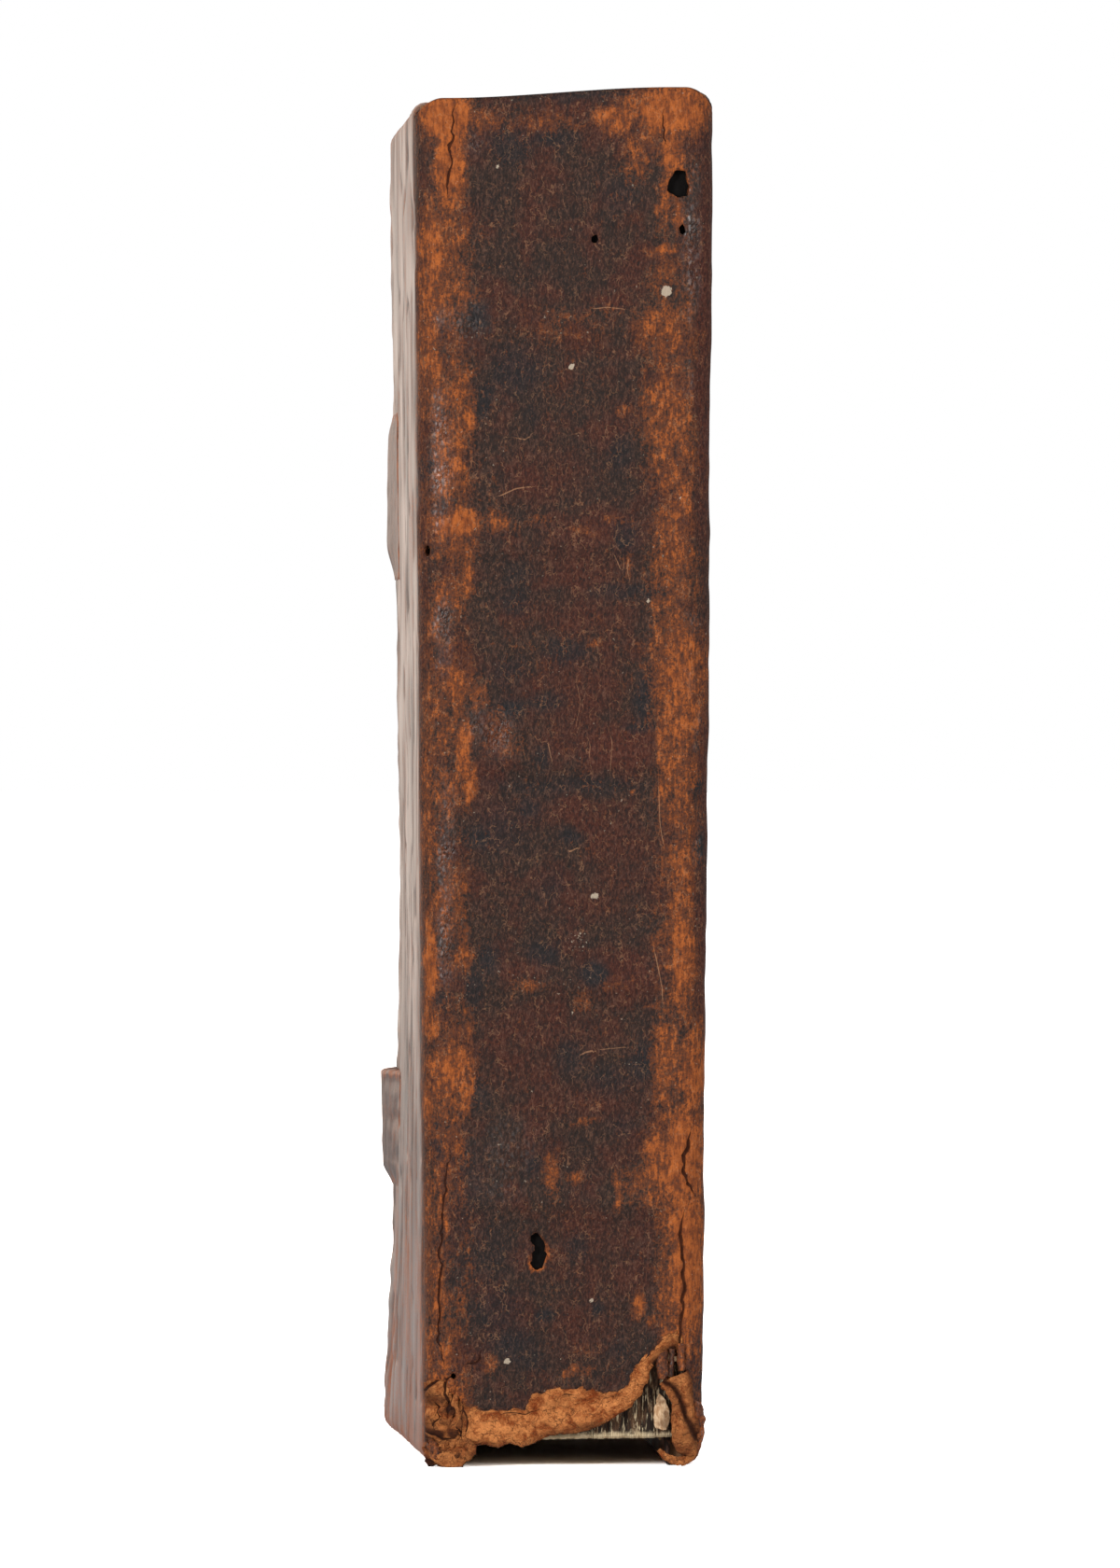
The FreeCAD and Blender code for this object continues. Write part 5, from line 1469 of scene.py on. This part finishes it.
def build_strap(material, name, node, rise_at, seed):
    """The stub of a clasp strap that lies on the back cover beside the fore-edge."""
    strap_low, strap_high = low(node), high(node)
    rows, columns = 56, 44
    u, v = np.meshgrid(np.linspace(0.0, 1.0, columns), np.linspace(0.0, 1.0, rows))
    u, v = u.ravel(), v.ravel()
    end = 0.06 * ripple(seed, v * 9.0, v * 3.0)
    y = strap_low.y + (strap_high.y - strap_low.y) * (u + end * (1 - u))
    z = strap_low.z + (strap_high.z - strap_low.z) * v + 0.35 * ripple(seed + 1, u * 7.0, v * 2.0)
    side_border = np.minimum(u, 1 - u) * (strap_high.y - strap_low.y) + 0.35 * u
    end_border = np.minimum(v, 1 - v) * (strap_high.z - strap_low.z)
    border = np.minimum(side_border, end_border)
    rise = rise_at(v) * smooth(-0.1, 1.0, u) * smooth(0.0, 1.1, side_border) * smooth(0.0, 0.45, end_border)
    rise = rise + 0.1 * ripple(seed + 2, y / 2.0, z / 2.4) - 0.6 * smooth(0.35, 0.0, border)
    x = -(cover_outer(-1, y, z) + rise)
    points = np.column_stack((x + MIDDLE, y, z))
    faces = grid_faces(rows, columns)
    layers = plain_layers(len(points), 0.0, 0.0, coat=0.42)
    edge_wear = smooth(2.2, 0.3, border) * 0.5 + 0.3
    layers["tone"][:, 0] = np.clip(edge_wear + 0.25 * ripple(seed + 3, y / 3.0, z / 3.0), 0, 1)
    layers["tone"][:, 2] = 0.6
    points, faces = thicken(points, faces[:, ::-1], 0.5)
    piece = make_piece(name, points, faces, material, doubled(layers))
    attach(piece, "back_cover")
    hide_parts(node)


def wind_thread(material):
    """Turns of thread round the endband's core, placed by geometry nodes on a line of points."""
    rod_low, rod_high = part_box("head_endband")
    group = bpy.data.node_groups.new("thread_turns", "GeometryNodeTree")
    sockets = group.interface
    kinds = {
        "Geometry": "Geometry", "Start": "Vector", "End": "Vector", "Turns": "Int", "Reach": "Float",
        "Thread": "Float",
    }
    for name, kind in kinds.items():
        sockets.new_socket(name, in_out="INPUT", socket_type="NodeSocket" + kind)
    sockets.new_socket("Geometry", in_out="OUTPUT", socket_type="NodeSocketGeometry")
    tree = NodeTree(group)
    given = tree.node("NodeGroupInput")
    start, end, turns, radius, thick = tree.outputs(given, "Start", "End", "Turns", "Reach", "Thread")
    ends = {"Count": turns, "Start Location": start, "Offset": end}
    line = tree.node("GeometryNodeMeshLine", {"mode": "END_POINTS"}, ends)
    ring = tree.node("GeometryNodeCurvePrimitiveCircle", None, {"Resolution": 24, "Radius": radius})
    profile = tree.node("GeometryNodeCurvePrimitiveCircle", None, {"Resolution": 6, "Radius": thick})
    tube = tree.node("GeometryNodeCurveToMesh", None, {"Curve": ring, "Profile Curve": profile})
    tilt = (0.0, math.radians(90.0), math.radians(9.0))
    turned = tree.node("GeometryNodeTransform", None, {"Geometry": tube, "Rotation": tilt})
    spread = tree.node("GeometryNodeInstanceOnPoints", None, {"Points": line, "Instance": turned})
    real = tree.node("GeometryNodeRealizeInstances", None, {0: spread})
    finish = tree.node("GeometryNodeSetMaterial", None, {"Geometry": real, "Material": material})
    tree.node("NodeGroupOutput", None, {0: finish})

    host = add_object("thread_host", bpy.data.meshes.new("thread_host"))
    modifier = host.modifiers.new("thread", "NODES")
    modifier.node_group = group
    reach = (rod_high.y - rod_low.y) / 2
    middle_y = (rod_low.y + rod_high.y) / 2
    first = (rod_low.x + 0.4 * MM, middle_y, rod_low.z + reach)
    last = (rod_high.x - 0.4 * MM, middle_y, rod_high.z - reach)
    values = {"Start": first, "End": last, "Turns": 92, "Reach": reach, "Thread": 0.19 * MM}
    for item in sockets.items_tree:
        if item.item_type == "SOCKET" and item.in_out == "INPUT" and item.name in values:
            modifier[item.identifier] = values[item.name]
    host.update_tag()
    depsgraph = bpy.context.evaluated_depsgraph_get()
    mesh = bpy.data.meshes.new_from_object(host.evaluated_get(depsgraph))
    if len(mesh.polygons) == 0:
        raise RuntimeError("The endband's thread has no faces")
    bpy.data.objects.remove(host)
    mesh.name = "endband_thread"
    mesh.polygons.foreach_set("use_smooth", [True] * len(mesh.polygons))
    piece = add_object("endband_thread", mesh)
    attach(piece, "text_and_spine")


def finish_nodes(materials):
    """Gives every solid that is carried over its material."""
    slots = {part["node"]: part["material_slot"] for part in frame["record"]["subparts"]}
    for node, slot in slots.items():
        solid = frame["nodes"][node]
        for index in range(len(solid.material_slots)):
            solid.material_slots[index].material = materials[slot]
        if not solid.material_slots:
            solid.data.materials.append(materials[slot])


# Settings that a user would change
def colour_property(name, description, default):
    """A colour that a user may change."""
    return bpy.props.FloatVectorProperty(
        name=name, description=description, default=default, size=4, min=0.0, max=1.0, subtype="COLOR",
    )


class LeatherSettings(bpy.types.PropertyGroup):
    grain_pitch: bpy.props.FloatProperty(
        name="Grain pitch", description="Width of one pore cell in millimetres", default=0.46
    )
    wall: bpy.props.FloatProperty(
        name="Wall", description="Thickness of the leather in millimetres", default=LEATHER
    )
    dark: colour_property("Dark leather", "Grain that was never rubbed", DARK_BROWN)
    red: colour_property("Red patches", "Grain where the dye has gone red", RED_BROWN)
    tan_deep: colour_property("Deep tan", "Leather rubbed through its grain", TAN_DEEP)
    tan_light: colour_property("Light tan", "Leather rubbed the most", TAN_LIGHT)
    flesh_deep: colour_property("Deep suede", "Hollows of the torn leather", FLESH_DEEP)
    flesh_light: colour_property("Light suede", "Tops of the torn leather", FLESH_LIGHT)


class StageSettings(bpy.types.PropertyGroup):
    distance: bpy.props.FloatProperty(
        name="Camera distance", description="From the spine to the camera", default=2.1, unit="LENGTH"
    )
    azimuth: bpy.props.FloatProperty(
        name="Camera azimuth", description="Turn towards the back cover", default=math.radians(-2.04),
        subtype="ANGLE",
    )
    height: bpy.props.FloatProperty(
        name="Camera height", description="Above the floor", default=0.103, unit="LENGTH"
    )


ROOM_LIGHT = 0.42
FLOOR_SEEN = 3.6


def floor_material():
    """White floor: bright enough for the camera to see it white, and dark where the book shades it."""
    shade = Shade("white_floor")
    seen = shade.node("ShaderNodeLightPath", None, None, "Is Camera Ray")
    colour = shade.mix(seen, (0.8, 0.8, 0.8, 1.0), (FLOOR_SEEN, FLOOR_SEEN, FLOOR_SEEN, 1.0))
    diffuse = shade.node("ShaderNodeBsdfDiffuse", None, {"Color": colour})
    shade.node("ShaderNodeOutputMaterial", None, {"Surface": diffuse})
    return shade.material


def light_world():
    """A plain pale room: white to the camera, softer on the book."""
    world = bpy.data.worlds.new("pale_room")
    bpy.context.scene.world = world
    shade = Shade("pale_room", world)
    path = shade.node("ShaderNodeLightPath")
    bright = shade.maths("MAXIMUM", *shade.outputs(path, "Is Camera Ray", "Is Transmission Ray"))
    strength = shade.node("ShaderNodeMix", None, {0: bright, 2: ROOM_LIGHT, 3: 1.0})
    inputs = {"Color": (1.0, 1.0, 1.0, 1.0), "Strength": strength}
    background = shade.node("ShaderNodeBackground", None, inputs)
    shade.node("ShaderNodeOutputWorld", None, {"Surface": background})


LAMP_AIM = (0.0, 0.0, 0.1)


def add_lamp(name, place, size, power, colour=(1.0, 1.0, 1.0)):
    """A soft square lamp that faces the book's middle."""
    data = bpy.data.lights.new(name, "AREA")
    data.size = size
    data.energy = power
    data.color = colour
    lamp = add_object(name, data)
    lamp.location = place
    aim = Vector(LAMP_AIM) - Vector(place)
    lamp.rotation_euler = aim.to_track_quat("-Z", "Y").to_euler()
    lamp.visible_camera = False


PHOTO_WIDE = 1200
PHOTO_TALL = 1680
PIXELS_PER_MM = 7.51
MIDDLE_COLUMN = 605
FOOT_ROW = 1572
SENSOR = 36.0
FAR_CLIP = 100.0
FLOOR_REACH = 30.0


def add_camera(settings):
    """A long lens in front of the spine, a little to the back cover's side."""
    data = bpy.data.cameras.new("camera")
    data.sensor_width = SENSOR
    data.lens = PIXELS_PER_MM * settings.distance / MM / PHOTO_TALL * SENSOR
    camera = add_object("camera", data)
    seen_x = (MIDDLE + (PHOTO_WIDE / 2 - MIDDLE_COLUMN) / PIXELS_PER_MM) * MM
    seen_z = (FOOT_ROW - PHOTO_TALL / 2) / PIXELS_PER_MM * MM
    target = Vector((seen_x, SPINE_Y * MM, seen_z))
    away = Vector((math.sin(settings.azimuth), -math.cos(settings.azimuth), 0.0)) * settings.distance
    camera.location = target + away
    camera.location.z = settings.height
    camera.rotation_euler = (target - camera.location).to_track_quat("-Z", "Y").to_euler()
    data.clip_end = FAR_CLIP
    bpy.context.scene.camera = camera


def add_floor():
    """A floor that reaches far past every view."""
    mesh = bpy.data.meshes.new("floor")
    signs = ((-1, -1), (1, -1), (1, 1), (-1, 1))
    mesh.from_pydata([(x * FLOOR_REACH, y * FLOOR_REACH, 0.0) for x, y in signs], [], [(0, 1, 2, 3)])
    mesh.materials.append(floor_material())
    add_object("floor", mesh)


class BOOK_OT_spine_leather(bpy.types.Operator):
    """Make the spine's torn and worn leather"""

    bl_idname = "book.spine_leather"
    bl_label = "Spine leather"

    def execute(self, context):
        build_spine_leather(context.scene.book_leather, leather_of(context))
        return {"FINISHED"}


class BOOK_OT_cover_leather(bpy.types.Operator):
    """Make both covers' leather, with its turn-ins"""

    bl_idname = "book.cover_leather"
    bl_label = "Cover leather"

    def execute(self, context):
        settings = context.scene.book_leather
        leather = leather_of(context)
        build_cover_leather(settings, leather, 1, "front_skin", "front_leather")
        build_cover_leather(settings, leather, -1, "back_skin", "back_leather")
        return {"FINISHED"}


class BOOK_OT_tail_scraps(bpy.types.Operator):
    """Make the roll, flap, curls and scraps at the torn tail"""

    bl_idname = "book.tail_scraps"
    bl_label = "Tail scraps"

    def execute(self, context):
        build_tail_scraps(leather_of(context), kept_material("spine_lining", lining_material))
        return {"FINISHED"}


class BOOK_OT_leaves(bpy.types.Operator):
    """Make the leaves"""

    bl_idname = "book.leaves"
    bl_label = "Leaves"

    def execute(self, context):
        build_leaves(kept_material("leaf_edges", leaves_material))
        return {"FINISHED"}


class BOOK_OT_straps(bpy.types.Operator):
    """Make the stubs of the clasp straps"""

    bl_idname = "book.straps"
    bl_label = "Strap stubs"

    def execute(self, context):
        leather = leather_of(context)
        build_strap(leather, "upper_strap", "upper_strap_stub", upper_strap_rise, 401)
        build_strap(leather, "lower_strap", "lower_strap_stub", lower_strap_rise, 411)
        return {"FINISHED"}


class BOOK_OT_thread(bpy.types.Operator):
    """Wind the endband's thread"""

    bl_idname = "book.thread"
    bl_label = "Endband thread"

    def execute(self, context):
        wind_thread(kept_material("linen_thread", thread_material))
        return {"FINISHED"}


class BOOK_OT_finishes(bpy.types.Operator):
    """Give every solid part its material"""

    bl_idname = "book.finishes"
    bl_label = "Finishes"

    def execute(self, context):
        finish_nodes({
            "leather": leather_of(context),
            "paper_leaves": kept_material("leaf_edges", leaves_material),
            "endpaper": kept_material("aged_endpaper", endpaper_material),
            "lining": kept_material("spine_lining", lining_material),
            "cord": kept_material("hemp_cord", cord_material),
            "thread": kept_material("linen_thread", thread_material),
            "board_wood": kept_material("old_oak", wood_material),
        })
        return {"FINISHED"}


class BOOK_OT_stage(bpy.types.Operator):
    """Set up the floor, the lamps, the room and the camera"""

    bl_idname = "book.stage"
    bl_label = "Stage"

    def execute(self, context):
        add_floor()
        light_world()
        add_lamp("left_lamp", (-1.1, -1.3, 0.55), 0.5, 22.0)
        add_lamp("right_lamp", (1.2, -1.1, 0.6), 0.5, 12.0)
        add_lamp("far_lamp", (-1.1, 2.3, 0.7), 2.2, 17.0, (1.0, 0.78, 0.63))
        add_camera(context.scene.book_stage)
        context.scene.view_settings.view_transform = "Standard"
        return {"FINISHED"}


def leather_of(context):
    """The leather material, made when it is first needed."""
    found = bpy.data.materials.get("worn_leather")
    return found or leather_material(context.scene.book_leather)


def kept_material(name, make):
    """A material by name, made when it is first needed."""
    return bpy.data.materials.get(name) or make()


PIECES = (
    BOOK_OT_spine_leather,
    BOOK_OT_cover_leather,
    BOOK_OT_tail_scraps,
    BOOK_OT_leaves,
    BOOK_OT_straps,
    BOOK_OT_thread,
    BOOK_OT_finishes,
    BOOK_OT_stage,
)


class BOOK_PT_panel(bpy.types.Panel):
    """Lists the book's pieces and settings"""

    bl_idname = "BOOK_PT_panel"
    bl_label = "Antique leather book"
    bl_space_type = "VIEW_3D"
    bl_region_type = "UI"
    bl_category = "Book"

    def draw(self, context):
        for piece in PIECES:
            self.layout.operator(piece.bl_idname)
        for settings in (context.scene.book_leather, context.scene.book_stage):
            box = self.layout.box()
            for name in settings.__annotations__:
                box.prop(settings, name)


CLASSES = (LeatherSettings, StageSettings, *PIECES, BOOK_PT_panel)


def register():
    for kind in CLASSES:
        bpy.utils.register_class(kind)
    bpy.types.Scene.book_leather = bpy.props.PointerProperty(type=LeatherSettings)
    bpy.types.Scene.book_stage = bpy.props.PointerProperty(type=StageSettings)


def unregister():
    del bpy.types.Scene.book_stage
    del bpy.types.Scene.book_leather
    for kind in reversed(CLASSES):
        bpy.utils.unregister_class(kind)


def main():
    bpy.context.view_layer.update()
    register()
    bpy.ops.book.spine_leather()
    bpy.ops.book.cover_leather()
    bpy.ops.book.tail_scraps()
    bpy.ops.book.leaves()
    bpy.ops.book.straps()
    bpy.ops.book.thread()
    bpy.ops.book.finishes()
    bpy.ops.book.stage()


if __name__ == "__main__":
    main()
